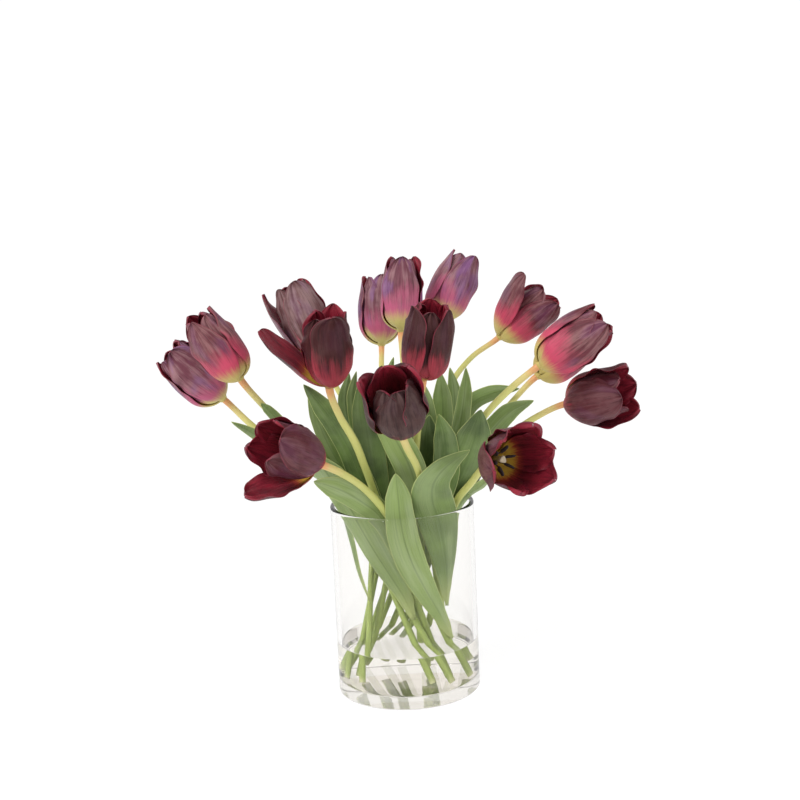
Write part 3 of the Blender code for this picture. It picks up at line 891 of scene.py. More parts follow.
@dataclass
class Vase:
    """The glass cylinder: a heavy base, a straight wall and a rounded rim."""

    outer_radius: float = 75.0
    inner_radius: float = 70.1
    height: float = 200.0
    base: float = 12.0
    foot_round: float = 1.8
    rim_round: float = 2.0
    inner_corner: float = 3.5
    hold: float = 0.3
    sides: int = 160

    def profile(self) -> Profile:
        """The line that is turned into the glass.

        Returns:
            Radius and height of points up the outside, over the rim and down the inside.
        """
        outer, inner, top, hold = self.outer_radius, self.inner_radius, self.height, self.hold
        foot, rim = self.foot_round, self.rim_round
        points = [(0.0, 0.0), (outer * 0.5, 0.0), (outer - foot - hold, 0.0)]
        points += arc(outer - foot, foot, foot, -90, 0, 5) + [(outer, foot + hold)]
        points += [(outer, top * share) for share in (0.25, 0.5, 0.75)] + [(outer, top - rim - hold)]
        points += arc(outer - rim, top - rim, rim, 0, 90, 6) + arc(inner + rim, top - rim, rim, 90, 180, 6)
        points += [(inner, top - rim - hold)] + [(inner, top * share) for share in (0.75, 0.5, 0.25)]
        corner = inner - self.inner_corner
        points.append((inner, self.base + self.inner_corner + hold))
        points += arc(corner, self.base + self.inner_corner, self.inner_corner, 0, -90, 6)
        points.append((corner - hold, self.base))
        return points + [(corner * 0.5, self.base), (0.0, self.base)]

    def build(self) -> None:
        """Make the glass, which lets the studio's light through to the stems."""
        shape = Shape.turned(self.profile(), self.sides)
        piece = shape.as_object("glass_vase", GLASS_FINISH.material(), SHARP)
        piece.visible_shadow = False
        present(piece, "glass", "vase")


@dataclass
class Water:
    """The water in the foot of the vase, drawn up a little where it meets the glass and the stems."""

    vase: Vase
    level: float = 52.5
    overlap: float = 0.4
    rise: float = 0.8
    reach: float = 1.3
    stem_rise: float = 0.5
    rings: int = 46
    sides: int = 160

    def build(self, stems: Sequence["Stem"]) -> None:
        """Make the water.

        Args:
            stems: the stems that stand in it.
        """
        wall = self.vase.inner_radius
        edge, floor = wall + self.overlap, self.vase.base - self.overlap
        corner = self.vase.inner_corner
        hold = self.vase.hold
        profile = [(0.0, floor), (wall * 0.5, floor), (wall - corner - hold, floor)]
        profile += arc(wall - corner, self.vase.base + corner, corner + self.overlap, -90, 0, 6)
        profile += [(edge, self.vase.base + corner + hold), (edge, self.level * 0.6), (edge, self.level)]
        shares = 1.0 - np.linspace(0.0, 1.0, self.rings) ** 1.6
        profile += [(wall * share, self.level) for share in shares[:-1]] + [(0.0, self.level)]
        shape = Shape.turned(profile, self.sides)
        top = shape.points[:, 2] > self.level - 0.01
        shape.points[top, 2] += self.meniscus(shape.points[top, :2], stems)
        piece = shape.as_object("water_fill", WATER_FINISH.material(), SHARP)
        piece.visible_shadow = False
        present(piece, "water", "water")

    def meniscus(self, places: Array, stems: Sequence["Stem"]) -> Array:
        """How far the surface is drawn up.

        Args:
            places: points on the surface, seen from above.
            stems: the stems that stand in it.

        Returns:
            The rise at each point.
        """
        to_wall = self.vase.inner_radius - np.linalg.norm(places, axis=1)
        height = self.rise * np.exp(-np.maximum(to_wall, 0.0) / self.reach)
        for stem in stems:
            route = stem.route
            middle = np.array([np.interp(self.level, route[:, 2], route[:, k]) for k in (0, 1)])
            off = np.maximum(np.linalg.norm(places - middle, axis=1) - stem.flower.stem_radius, 0.0)
            height += self.stem_rise * np.exp(-off / self.reach)
        return height


# ---- stems


@dataclass(frozen=True)
class Flower:
    """One flower: where its stem stands and passes, where its bloom sits and how it is formed."""

    name: str
    foot: tuple[float, float]
    passes: tuple[Point, ...]
    base: Point
    aim: Point
    stem_radius: float
    petal_length: float
    belly: float
    roll: float
    lean: float
    tint: Tint


FLOWERS = (
    Flower("01", (41, -48), ((-54, -18, 200), (-149, -6, 287)), (-178, 0, 316), (-54, -12, 54), 3.4, 86, 24.5,
        20, 3, Tint.VIOLET),
    Flower("02", (22, -36), ((-49, -2, 200), (-118, -36, 295)), (-154, -52, 344), (-40, -18, 73), 3.4, 88,
        23.5, -20, 2, Tint.ROSE),
    Flower("03", (-44, -38), ((-30, 27, 200), (-61, 83, 301)), (-84, 100, 343), (-31, 5, 84), 3.2, 96, 26.0,
        25, 4, Tint.GREY),
    Flower("04", (36, -18), ((-22, -34, 200), (-43, -58, 274)), (-66, -70, 335), (-2, -18, 77), 3.9, 88, 25.5,
        36, 1, Tint.CRIMSON),
    Flower("05", (-58, -12), ((-10, 42, 196), (-16, 100, 322)), (-15, 125, 348), (1, 13, 77), 3.2, 88, 25.0,
        10, 2, Tint.VIOLET),
    Flower("06", (-44, -13), ((2, 18, 200), (8, 52, 335)), (7, 60, 371), (4, 5, 77), 3.2, 88, 22.5, 0, 1,
        Tint.VIOLET),
    Flower("07", (-56, 16), ((19, 40, 198), (35, 85, 345)), (47, 100, 375), (35, 12, 73), 3.2, 90, 24.5, 30,
        1, Tint.VIOLET),
    Flower("08", (14, 32), ((12, -8, 206), (20, -34, 288)), (26, -60, 337), (11, -22, 77), 3.8, 89, 24.5, 60,
        3, Tint.CRIMSON),
    Flower("09", (-48, 30), ((33, 42, 200), (54, 74, 300), (74, 90, 328)), (114, 105, 354), (53, -7, 45), 3.2,
        84, 24.5, 30, 8, Tint.ROSE),
    Flower("10", (-6, 48), ((45, -2, 200), (88, -22, 291)), (143, -30, 341), (66, -12, 47), 3.6, 92, 26.0, 10,
        2, Tint.ROSE),
    Flower("11", (-34, 44), ((49, 25, 200), (120, 50, 289)), (150, 60, 316), (69, 10, 46), 3.3, 82, 23.0, 40,
        3, Tint.ROSE),
    Flower("12", (-18, 56), ((56, 6, 200), (126, 8, 271)), (174, 10, 294), (60, -38, 17), 3.5, 84, 28.0, 0, 3,
        Tint.DEEP),
    Flower("13", (44, 40), ((25, -40, 200), (19, -72, 244)), (2, -125, 300), (-7, -53, 60), 3.8, 84, 29.5, 15,
        4, Tint.DARK),
    Flower("14", (58, -10), ((-12, -52, 196), (-34, -72, 231)), (-77, -110, 268), (-53, -45, 34), 3.8, 82,
        26.0, 35, 8, Tint.DEEP),
    Flower("15", (16, 56), ((53, -26, 200), (76, -68, 240)), (89, -95, 263), (29, -65, 8), 3.8, 80, 25.0, 0,
        12, Tint.DEEP),
)


def tube_rule() -> GeometryRule:
    """The rule that sweeps a round section along a chain of points.

    Returns:
        The tree. Each point's mark `girth` is its share of the radius; the tube's marks are
        `along`, from its foot to its top, and `ring`, the way out from its middle.
    """
    rule = GeometryRule("swept_tube", {"Radius": float, "Sides": int, "Material": Material})
    chain = rule.node("GeometryNodeMeshToCurve", inputs={"Mesh": rule.given("Geometry")})
    share = rule.node("GeometryNodeSplineParameter", output="Factor")
    chain = rule.node(
        "GeometryNodeStoreNamedAttribute", {"data_type": "FLOAT", "domain": "POINT"},
        {"Geometry": chain, "Name": "along", "Value": share},
    )
    girth = rule.node(
        "GeometryNodeInputNamedAttribute", {"data_type": "FLOAT"}, {"Name": "girth"}, "Attribute"
    )
    circle = rule.node(
        "GeometryNodeCurvePrimitiveCircle", inputs={"Resolution": rule.given("Sides"), "Radius": 1.0}
    )
    circle = rule.node(
        "GeometryNodeStoreNamedAttribute", {"data_type": "FLOAT_VECTOR", "domain": "POINT"},
        {"Geometry": circle, "Name": "ring", "Value": rule.node("GeometryNodeInputPosition")},
    )
    inputs = {"Curve": chain, "Profile Curve": circle, "Scale": girth * rule.given("Radius")}
    tube = rule.node("GeometryNodeCurveToMesh", inputs=inputs | {"Fill Caps": True})
    rule.end(rule.node("GeometryNodeSetShadeSmooth", inputs={"Geometry": tube}))
    return rule


class Stem:
    """A flower's stem: a straight rod from its foot to the vase's mouth, then a curve to its bloom."""

    GAP = 0.3
    GLASS_BASE = 12.0
    FOOT_LIFT = 0.72
    CAD_STATIONS = 12
    STATIONS = 90
    SIDES = 18
    SEED = 400
    CUT_EDGE = 60.0

    def __init__(self, flower: Flower) -> None:
        """Find the route of that flower's stem."""
        self.flower = flower
        self.route = self.find_route()

    def find_route(self) -> Array:
        """The middle of the stem, from the foot to just inside the bloom.

        Returns:
            The points in millimetres, one a row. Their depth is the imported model's.
        """
        flower = self.flower
        aim = unit(flower.aim)
        end = np.array(flower.base, float) - aim * self.GAP
        foot = np.array((*flower.foot, self.GLASS_BASE + self.GAP + self.FOOT_LIFT * flower.stem_radius))
        mouth = np.array(flower.passes[0], float)
        points = [foot, foot + (mouth - foot) * 0.55] + [np.array(p, float) for p in flower.passes] + [end]
        stations = smooth_path(points, self.CAD_STATIONS, mouth - foot, aim)
        corners = corner_points("stem_" + flower.name)
        found = {}
        for index, station in enumerate(stations):
            away = np.hypot(corners[:, 0] - station[0], corners[:, 2] - station[2])
            near = corners[away < flower.stem_radius + self.GAP, 1]
            if len(near):
                found[index] = near.mean()
        stations[:, 1] = np.interp(np.arange(len(stations)), list(found), list(found.values()))
        stations[-1] += aim * 4 * self.GAP
        return smooth_path(stations, self.STATIONS, end=aim)

    def build(self, rule: GeometryRule, material: Material) -> None:
        """Make the stem.

        Args:
            rule: the tube rule.
            material: the stems' material.
        """
        name = self.flower.name
        draw = np.random.default_rng(self.SEED + int(name))
        share = np.linspace(0.0, 1.0, self.STATIONS)
        wave = np.sin(2 * math.pi * (draw.uniform(3, 5) * share + draw.random()))
        slimmer, neck = 0.05 * smooth_step(0.55, 0.9, share), 0.10 * smooth_step(0.965, 1.0, share)
        girth = 1.0 + 0.03 * wave - slimmer + neck
        links = [(i, i + 1) for i in range(self.STATIONS - 1)]
        chain = Shape(self.route, [], {"girth": girth}, links).as_object("stem_rod_" + name)
        rule.apply(chain, {"Radius": self.flower.stem_radius * MM, "Sides": self.SIDES, "Material": material})
        chain.data.set_sharp_from_angle(angle=math.radians(self.CUT_EDGE))
        present(chain, "stem", "stem_" + name)


# ---- leaves


class LeafShading(Enum):
    """How pale a leaf is painted: painted light and shade, paler for a lit leaf and darker for a shaded one.
    """

    DARK = 0.0
    MIDDLE = 0.4
    PALE = 0.9


@dataclass(frozen=True)
class LeafPlan:
    """One leaf: points along its midrib from sheath to tip, its full width, and which way it faces."""

    name: str
    midrib: tuple[Point, ...]
    width: float
    faces: Point = (-90.0, -90.0, -90.0)
    # tone is painted light and shade: how lit or shaded the leaf is painted.
    tone: LeafShading = LeafShading.MIDDLE
    taper: float = 0.0


# Each leaf's tone is painted light and shade: DARK for a leaf in shade, PALE for a leaf in the light.
LEAVES = (
    LeafPlan("01", ((-38, -14, 97), (-50, -16, 139), (-58, -11, 182), (-66, -11, 205), (-95, -42, 247),
        (-128, -62, 280), (-164, -75, 307)), 17, (-140, -150, -90)),
    LeafPlan("02", ((7, -44, 81), (-3, -50, 109), (-20, -50, 140), (-38, -44, 174), (-53, -35, 203),
        (-69, -48, 236), (-85, -74, 270)), 42, (-95, -138, -100), LeafShading.PALE),
    LeafPlan("03", ((2, -20, 128), (-9, -32, 165), (-22, -44, 199), (-40, -58, 219), (-60, -72, 235),
        (-85, -88, 249)), 27, (-95, -95, -100), LeafShading.PALE),
    LeafPlan("04", ((-18, -2, 125), (-28, -8, 176), (-43, -22, 216), (-66, -34, 252), (-81, -36, 289),
        (-90, -40, 330)), 17),
    LeafPlan("05", ((-14, -22, 144), (-27, -30, 205), (-43, -44, 245), (-54, -52, 278), (-72, -56, 309),
        (-92, -60, 338)), 24, tone=LeafShading.DARK),
    LeafPlan("06", ((-22, 10, 140), (-31, 4, 195), (-46, -10, 231), (-58, -20, 260), (-63, -28, 287)), 30,
        tone=LeafShading.DARK),
    LeafPlan("07", ((-25, 30, 149), (-37, 26, 222), (-51, 18, 278), (-54, 8, 310), (-48, 0, 339)), 18),
    LeafPlan("08", ((-18, 20, 158), (-28, 16, 224), (-42, 6, 279), (-46, 0, 311), (-41, -6, 341)), 15,
        (-90, -90, -60)),
    LeafPlan("09", ((-10, -10, 114), (-16, -18, 166), (-26, -34, 222), (-30, -38, 264), (-34, -34, 300),
        (-36, -28, 336)), 30, tone=LeafShading.DARK),
    LeafPlan("10", ((-4, 0, 117), (-8, -6, 175), (-16, -16, 220), (-14, -20, 252), (-9, -20, 280)), 22),
    LeafPlan("11", ((14, -30, 143), (16, -40, 188), (12, -52, 238), (2, -62, 265), (-9, -60, 286),
        (-24, -50, 312)), 31, tone=LeafShading.PALE),
    LeafPlan("12", ((6, 2, 139), (15, -4, 194), (28, -14, 233), (29, -24, 266), (32, -26, 295)), 29,
        tone=LeafShading.DARK),
    LeafPlan("13", ((24, -8, 125), (34, -16, 191), (46, -28, 235), (47, -33, 268), (41, -31, 297)), 28,
        tone=LeafShading.DARK),
    LeafPlan("14", ((20, 20, 155), (32, 22, 218), (46, 22, 270), (47, 22, 302), (46, 22, 332)), 23),
    LeafPlan("15", ((26, 30, 151), (42, 34, 214), (57, 36, 267), (61, 38, 298), (57, 40, 333)), 18),
    LeafPlan("16", ((28, 14, 150), (42, 12, 205), (60, 8, 258), (68, 6, 298), (73, 2, 339)), 18,
        (-90, -90, -120)),
    LeafPlan("17", ((33, 16, 128), (44, -8, 190), (60, -34, 229), (71, -42, 255), (79, -44, 278),
        (84, -40, 299)), 43, (-70, -85, -90), LeafShading.DARK),
    LeafPlan("18", ((38, 24, 130), (52, 26, 196), (76, 20, 239), (97, 14, 269), (117, 8, 290), (141, 6, 301)),
        24, (-60, -80, -90)),
    LeafPlan("19", ((32, 36, 143), (46, 44, 211), (61, 48, 264), (79, 48, 293), (103, 46, 304),
        (130, 42, 308)), 20),
    LeafPlan("20", ((22, 6, 179), (29, 2, 232), (34, -4, 276), (32, -8, 302), (27, -10, 327)), 13),
    LeafPlan("21", ((-7, 34, 172), (-9, 48, 224), (-13, 62, 276), (-11, 72, 312), (-2, 78, 343)), 15),
    LeafPlan("22", ((43, -14, 89), (42, -36, 145), (36, -52, 192), (30, -68, 220), (35, -86, 244),
        (51, -96, 262), (68, -100, 274)), 44, (-40, -80, -90), LeafShading.MIDDLE, 0.45),
    LeafPlan("23", ((46, -26, 60), (35, -42, 89), (21, -54, 120), (7, -58, 153), (-1, -60, 185),
        (-3, -64, 215), (-5, -74, 249)), 31, (-60, -80, -90), LeafShading.PALE),
    LeafPlan("24", ((45, 12, 79), (51, 2, 130), (56, -8, 172), (59, -16, 196), (78, -28, 215),
        (95, -38, 234)), 20, (-20, -30, -60), LeafShading.PALE),
    LeafPlan("25", ((-95, -30, 268), (-110, -36, 288), (-123, -40, 304), (-136, -46, 320)), 11),
    LeafPlan("26", ((-20, 40, 120), (-24, 54, 200), (-40, 84, 262), (-58, 108, 300)), 30, (110, 110, 110)),
    LeafPlan("27", ((6, 44, 110), (6, 58, 200), (14, 90, 258), (22, 122, 296)), 34, (90, 90, 85)),
    LeafPlan("28", ((20, 46, 118), (28, 54, 200), (70, 84, 250), (98, 102, 272)), 28, (60, 60, 60)),
)


class Leaf:
    """A long leaf: a narrow sheath, a blade folded along its midrib, wavy margins and a fine tip."""

    CAD_STATIONS = 9
    CAD_THICKNESS = 0.9
    FOLD = 0.16
    WIDTH_AT = (0.0, 0.12, 0.3, 0.55, 0.78, 0.92, 1.0)
    WIDTHS = (0.28, 0.4, 0.7, 1.0, 0.92, 0.64, 0.08)
    FINE_TIP_FROM = 0.86
    SEED = 700
    ROWS = 64
    COLUMNS = 17
    BLADE = Blade(thick=0.95, thin=0.35, soft=3.5, rim=1.4)
    MATCH = 0.05

    def __init__(self, plan: LeafPlan) -> None:
        """Find the leaf's stations.

        Args:
            plan: the leaf's plan.
        """
        self.plan = plan
        path = smooth_path(plan.midrib, self.CAD_STATIONS)
        along = unit(np.gradient(path, axis=0))
        share = np.linspace(0.0, 1.0, self.CAD_STATIONS)
        angle = np.radians(np.interp(share, (0.0, 0.5, 1.0), plan.faces))
        outward = np.stack([np.cos(angle), np.sin(angle), np.zeros_like(angle)], axis=-1)
        self.side = unit(np.cross(along, outward))
        self.normal = unit(np.cross(self.side, along))
        self.path = self.settled(path, 0.5 * plan.width * np.interp(share, self.WIDTH_AT, self.WIDTHS))

    def settled(self, path: Array, half: Array) -> Array:
        """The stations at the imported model's depth.

        Args:
            path: the stations as planned.
            half: half the leaf's width at each.

        Returns:
            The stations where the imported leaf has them.
        """
        corners = corner_points("leaf_" + self.plan.name)
        moved = path.copy()
        for i, station in enumerate(path):
            planned = []
            for column in (-1, 0, 1):
                middle = station + self.side[i] * (half[i] * column)
                middle = middle - self.normal[i] * (half[i] * self.FOLD * abs(column))
                planned += [middle + self.normal[i] * (face * self.CAD_THICKNESS / 2) for face in (-1, 1)]
            planned = np.array(planned)
            off = planned[:, None, [0, 2]] - corners[None, :, [0, 2]]
            found = (np.linalg.norm(off, axis=-1) < self.MATCH).any(axis=0)
            moved[i, 1] += corners[found, 1].mean() - planned[:, 1].mean()
        return moved

    def width_share(self, share: Array) -> Array:
        """How wide the leaf is along its length, with a fine tip.

        Args:
            share: where to read the width, from 0 to 1.

        Returns:
            The share of the full width.
        """
        body = outline(self.WIDTH_AT, self.WIDTHS, np.minimum(share, self.FINE_TIP_FROM))
        foot = 0.45 + 0.55 * smooth_step(0.0, 0.10, share)
        body = body * (1.0 - self.plan.taper * smooth_step(0.55, 0.95, share))
        return foot * body * np.clip((1.0 - share) / (1.0 - self.FINE_TIP_FROM), 0.0004, 1.0) ** 0.72

    def shape(self) -> Shape:
        """Model the leaf's blade.

        Returns:
            The thin sheet.
        """
        draw = np.random.default_rng(self.SEED + int(self.plan.name))
        rows = 1.0 - (1.0 - np.linspace(0.0, 1.0, self.ROWS)) ** 1.35
        path = smooth_rows(self.path, rows)
        side, normal = unit(smooth_rows(self.side, rows)), unit(smooth_rows(self.normal, rows))
        half = 0.5 * self.plan.width * self.width_share(rows)
        spread = np.linspace(-1.0, 1.0, self.COLUMNS)
        columns = 1.2 * spread - 0.2 * spread**3
        edge = np.abs(columns)
        t, c = rows[:, None], columns[None, :]
        fold = half[:, None] * self.FOLD * (edge**1.25)
        count, phase = draw.uniform(1.4, 2.6, 2), draw.random(2)
        wave = np.where(c < 0, np.sin(2 * math.pi * (count[0] * t + phase[0])),
                        np.sin(2 * math.pi * (count[1] * t + phase[1])))
        amount = np.minimum(half[:, None] * 0.09, 1.1)
        lift = amount * wave * edge**2 * smooth_step(0.25, 0.6, t) - fold
        lift = lift + draw.uniform(0.5, 2.5) * smooth_step(0.9, 1.0, t) ** 2
        lift = lift + 0.25 * np.exp(-((c / 0.12) ** 2))
        middle = path[:, None] + side[:, None] * (half[:, None] * c)[..., None]
        middle = middle + normal[:, None] * lift[..., None]
        length = np.linalg.norm(np.diff(path, axis=0), axis=1).sum()
        off = np.minimum(half[:, None] * (1.0 - edge), (1.0 - t) * length)
        # The tone mark is painted light and shade, set by how lit this leaf is painted.
        tone = self.plan.tone.value
        return self.BLADE.sheet(middle, normal[:, None], t, c, off, seed=draw.random(), tone=tone)

    def build(self, material: Material) -> None:
        """Make the leaf in that material."""
        piece = self.shape().as_object("leaf_blade_" + self.plan.name, material)
        present(piece, "leaf", "leaf_" + self.plan.name)


# ---- blooms


@dataclass(frozen=True)
class Whorl:
    """What sets a bloom's outer three petals apart from its inner three."""

    inset: float
    start: float
    lift: float
    shorter: float


OUTER_WHORL = Whorl(0.0, 3.6, 1.6, 0.0)
INNER_WHORL = Whorl(3.4, 2.7, 4.2, 6.0)


@dataclass
class PetalForm:
    """How one petal stands and how its margins are formed; angles are in degrees."""

    turn: float
    lean: float
    curl: float
    inner: bool
    seed: int
    ruffle: float = 0.9
    roll_low: float = 0.0
    roll_high: float = 0.0
    point: float = 0.45
    hook: float = 0.0


# Petals that stand apart from the rest, by flower: which petal (0-2 outer, 3-5 inner), its extra
# turn about the bloom, extra lean and extra curl of the tip, in degrees.
ODD_PETALS = {
    "03": ((2, 0, 8, 6),),
    "04": ((2, -8, 48, -14), (0, -10, 3, 14), (3, 0, 6, 16), (1, 0, 4, 22)),
    "09": ((2, 30, 22, -16), (1, 0, 6, 10)),
    "12": ((1, 0, 6, -8), (2, 0, 4, 6), (4, 0, 9, 8)),
    "13": ((2, 0, 3, 26), (0, 0, -10, -22), (3, 0, -6, -6), (5, 0, -8, -8)),
    "14": ((2, 1, 33, -4), (4, 0, 8, 4)),
    "15": ((0, -10, 8, 4), (1, 12, 8, 6), (2, 0, 6, 8), (3, 0, 4, 0), (4, 0, 12, 0), (5, 0, 8, 0)),
}

# Petals whose margins are formed apart from the rest, by flower: which petal, the roll of its two
# margins in degrees, its ruffle in millimetres and how pointed its tip is.
FORMED_PETALS = {
    "01": ((2, -20, -30, 1.2, 0.75),),
    "02": ((0, -34, 4, 1.2, 0.80),),
    "03": ((2, -30, -24, 1.0, 0.80), (0, 4, -12, 1.4, 0.15)),
    "04": ((0, 0, -10, 1.4, -0.40), (2, -10, -12, 0.8, 0.00), (4, 6, -30, 2.0, 0.20),
        (1, 0, -30, 1.0, 0.60)),
    "07": ((0, -8, -20, 1.4, 0.55),),
    "08": ((3, -30, -40, 2.6, 0.20), (4, -30, -30, 2.8, 0.10), (5, -36, -26, 2.4, 0.30)),
    "09": ((2, -4, -10, 1.0, 0.15), (0, 4, -20, 1.6, 0.10)),
    "10": ((0, -10, -14, 1.2, 0.25),),
    "12": ((0, -4, -8, 2.2, 0.00), (2, -30, -36, 2.8, 0.10), (4, -24, -30, 2.8, 0.10)),
    "13": ((0, -6, -14, 2.0, 0.00), (2, -36, 6, 1.8, 0.35), (1, 4, -14, 2.4, 0.05)),
    "14": ((0, 0, -6, 1.2, 0.05), (2, -8, -10, 2.0, 0.05), (4, -8, -20, 2.6, 0.30)),
    "15": ((0, -50, -36, 2.2, 0.30), (1, -16, -20, 2.2, 0.35), (2, -20, -28, 2.4, 0.10),
        (4, -10, -22, 2.0, 0.30)),
}


def whorl_rule() -> GeometryRule:
    """The rule that stands copies of one part in a ring, each leaning outwards.

    Returns:
        The tree.
    """
    inputs = {"Count": int, "Ring": float, "Lean": float, "Unevenness": float, "Seed": int}
    rule = GeometryRule("standing_whorl", inputs | {"Material": Material})
    angle = rule.node("GeometryNodeInputIndex") * (2 * math.pi / STAMENS)
    ring = rule.given("Ring")
    spot = rule.node(
        "ShaderNodeCombineXYZ",
        inputs={0: ring * angle.maths("COSINE", angle), 1: ring * angle.maths("SINE", angle)},
    )
    points = rule.node("GeometryNodePoints", inputs={"Count": rule.given("Count"), "Position": spot})
    uneven = rule.node(
        "FunctionNodeRandomValue", {"data_type": "FLOAT"},
        {"Min": -1.0, "Max": 1.0, "Seed": rule.given("Seed")}, "Value",
    )
    lean = rule.given("Lean") + uneven * rule.given("Unevenness")
    turn = rule.node("ShaderNodeCombineXYZ", inputs={1: lean, 2: angle})
    scale = uneven * 0.08 + 1.0
    copies = rule.node(
        "GeometryNodeInstanceOnPoints",
        inputs={"Points": points, "Instance": rule.given("Geometry"), "Rotation": turn, "Scale": scale},
    )
    rule.end(copies)
    return rule


class Bloom:
    """A tulip's bloom: three outer and three inner petals on a small knob, stamens and a pistil."""

    FLARE = 82.0
    CLOSING = 21.0
    TILT = 0.03
    WIDTH_AT = (0.0, 0.12, 0.3, 0.5, 0.62)
    WIDTHS = (0.15, 0.42, 0.82, 0.985, 1.0)
    TIP_FROM = 0.62
    ROWS = 44
    COLUMNS = 25
    BLADE = Blade(thick=1.05, thin=0.32, soft=5.0, rim=1.8)
    FINE_STEPS = 161
    SWELL = 0.59
    KNOB_SIDES = 24
    KNOB = ((0.0, -0.4), (3.5, -0.3), (4.4, 0.8), (4.9, 2.6), (4.3, 5.2), (2.2, 6.3), (0.0, 6.6))

    def __init__(self, flower: Flower) -> None:
        """Find the bloom's own axes.

        Args:
            flower: the flower it belongs to.
        """
        self.flower = flower
        up = unit(flower.aim)
        front = np.array((0.0, -1.0, 0.0))
        front = unit(front - up * front.dot(up))
        self.axes = np.stack([front, np.cross(up, front), up], axis=1)
        self.base = np.array(flower.base, float)

    def forms(self) -> list[PetalForm]:
        """Decide how each petal stands.

        Returns:
            The six petals' forms, three outside and then three inside.
        """
        phase = int(self.flower.name)
        forms = []
        for index in range(6):
            draw = np.random.default_rng(100 * phase + index)
            turn = self.flower.roll + 120.0 * (index % 3) + (60.0 if index >= 3 else 0.0)
            lean = self.flower.lean + 1.2 * math.sin(2.1 * index + phase)
            curl = 4.0 * math.sin(1.7 * index + 2.0 * phase)
            form = PetalForm(turn, lean, curl, index >= 3, 100 * phase + index)
            form.ruffle = draw.uniform(1.0, 2.0)
            form.roll_low, form.roll_high = draw.uniform(-42, 12, 2)
            form.point = draw.uniform(0.1, 0.45)
            form.hook = draw.uniform(-6, 14)
            forms.append(form)
        for index, turn, lean, curl in ODD_PETALS.get(self.flower.name, ()):
            forms[index].turn += turn
            forms[index].lean += lean
            forms[index].curl += curl
        for index, low, high, ruffle, point in FORMED_PETALS.get(self.flower.name, ()):
            forms[index] = replace(forms[index], roll_low=low, roll_high=high, ruffle=ruffle, point=point)
        return forms

    def profile(self, form: PetalForm, whorl: Whorl, rows: Array) -> list[Array]:
        """The petal's middle line.

        Args:
            form: the petal's form.
            whorl: the whorl it stands in.
            rows: where to read the line, from 0 to 1.

        Returns:
            Distance from the bloom's axis, height and slope at each row.
        """
        belly, length = self.flower.belly - whorl.inset, self.flower.petal_length - whorl.shorter
        fine = np.linspace(0.0, 1.0, self.FINE_STEPS)
        swell = (belly - whorl.start) / (self.SWELL * length)
        slope = self.FLARE * np.clip(1.0 - fine / swell, 0.0, 1.0) ** 1.2
        slope += form.lean * smooth_step(0.02, 0.55, fine) - self.CLOSING * smooth_step(0.4, 1.0, fine)
        slope += form.curl * smooth_step(0.72, 1.0, fine) + form.hook * smooth_step(0.86, 1.0, fine)
        slope = np.radians(slope)
        middle = (slope[1:] + slope[:-1]) / 2
        step = length / (len(fine) - 1)
        out = whorl.start + np.concatenate(([0.0], np.cumsum(np.sin(middle) * step)))
        up = whorl.lift + np.concatenate(([0.0], np.cumsum(np.cos(middle) * step)))
        return [np.interp(rows, fine, values) for values in (out, up, slope)]

    def width_share(self, form: PetalForm, rows: Array) -> Array:
        """How wide the petal is along its length.

        Args:
            form: the petal's form.
            rows: where to read the width, from 0 to 1.

        Returns:
            The share of the full width.
        """
        body = outline(self.WIDTH_AT, self.WIDTHS, np.minimum(rows, self.TIP_FROM))
        share = np.clip((rows - self.TIP_FROM) / (1.0 - self.TIP_FROM), 0.0, 0.9995)
        blunt, sharp = np.sqrt(1.0 - share**2.0), 1.0 - share**1.5
        return body * (blunt * (1.0 - form.point) + sharp * form.point)

    def petal(self, form: PetalForm) -> Shape:
        """One petal's thin sheet, in the bloom's own axes.

        Args:
            form: the petal's form.

        Returns:
            The sheet.
        """
        draw = np.random.default_rng(form.seed)
        whorl = INNER_WHORL if form.inner else OUTER_WHORL
        rows = 1.0 - (1.0 - np.linspace(0.0, 1.0, self.ROWS) ** 1.15) ** 1.5
        spread = np.linspace(-1.0, 1.0, self.COLUMNS)
        columns = 1.25 * spread - 0.25 * spread**3
        out, up, slope = self.profile(form, whorl, rows)
        belly = self.flower.belly - whorl.inset
        half = 0.99 * belly * self.width_share(form, rows)
        t, c, edge = rows[:, None], columns[None, :], np.abs(columns)[None, :]
        arc_length = c * half[:, None]
        bend = np.maximum(np.minimum(out, belly * 1.15), 3.0)[:, None]
        roll = np.where(c < 0, form.roll_low, form.roll_high)
        angle = arc_length / bend
        rolled = np.sign(c) * np.radians(roll) * smooth_step(0.5, 1.0, edge)
        angle = angle + rolled * smooth_step(0.3, 0.75, t)
        across, inward = self.along_arc(np.cos(angle), arc_length), self.along_arc(np.sin(angle), arc_length)
        face = np.stack([np.cos(slope), np.zeros_like(slope), -np.sin(slope)], axis=-1)[:, None]
        normal = face * np.cos(angle)[..., None] + np.array((0.0, 1.0, 0.0)) * np.sin(angle)[..., None]
        centre = np.stack([out, np.zeros_like(out), up], axis=-1)[:, None]
        middle = centre - face * (inward - self.TILT * across)[..., None]
        middle = middle + np.array((0.0, 1.0, 0.0)) * across[..., None]
        length = self.flower.petal_length - whorl.shorter
        off = np.minimum(half[:, None] * (1.0 - edge), (1.0 - t) * length)
        middle = middle + normal * self.relief(form, draw, t, c)[..., None]
        blade = self.BLADE.sheet(middle, normal, t, c, off, seed=draw.random(), tone=draw.random())
        cos, sin = math.cos(math.radians(form.turn)), math.sin(math.radians(form.turn))
        spin = np.array(((cos, -sin, 0), (sin, cos, 0), (0, 0, 1)))
        return blade.placed(spin, np.zeros(3))

    @staticmethod
    def along_arc(rate: Array, distance: Array) -> Array:
        """Add up a rate along each row, starting from the row's middle.

        Args:
            rate: the rate at each point.
            distance: how far along the row each point is.

        Returns:
            The sum at each point.
        """
        steps = (rate[:, 1:] + rate[:, :-1]) / 2 * np.diff(distance, axis=1)
        total = np.concatenate([np.zeros((len(rate), 1)), np.cumsum(steps, axis=1)], axis=1)
        middle = rate.shape[1] // 2
        return total - total[:, middle:middle + 1]

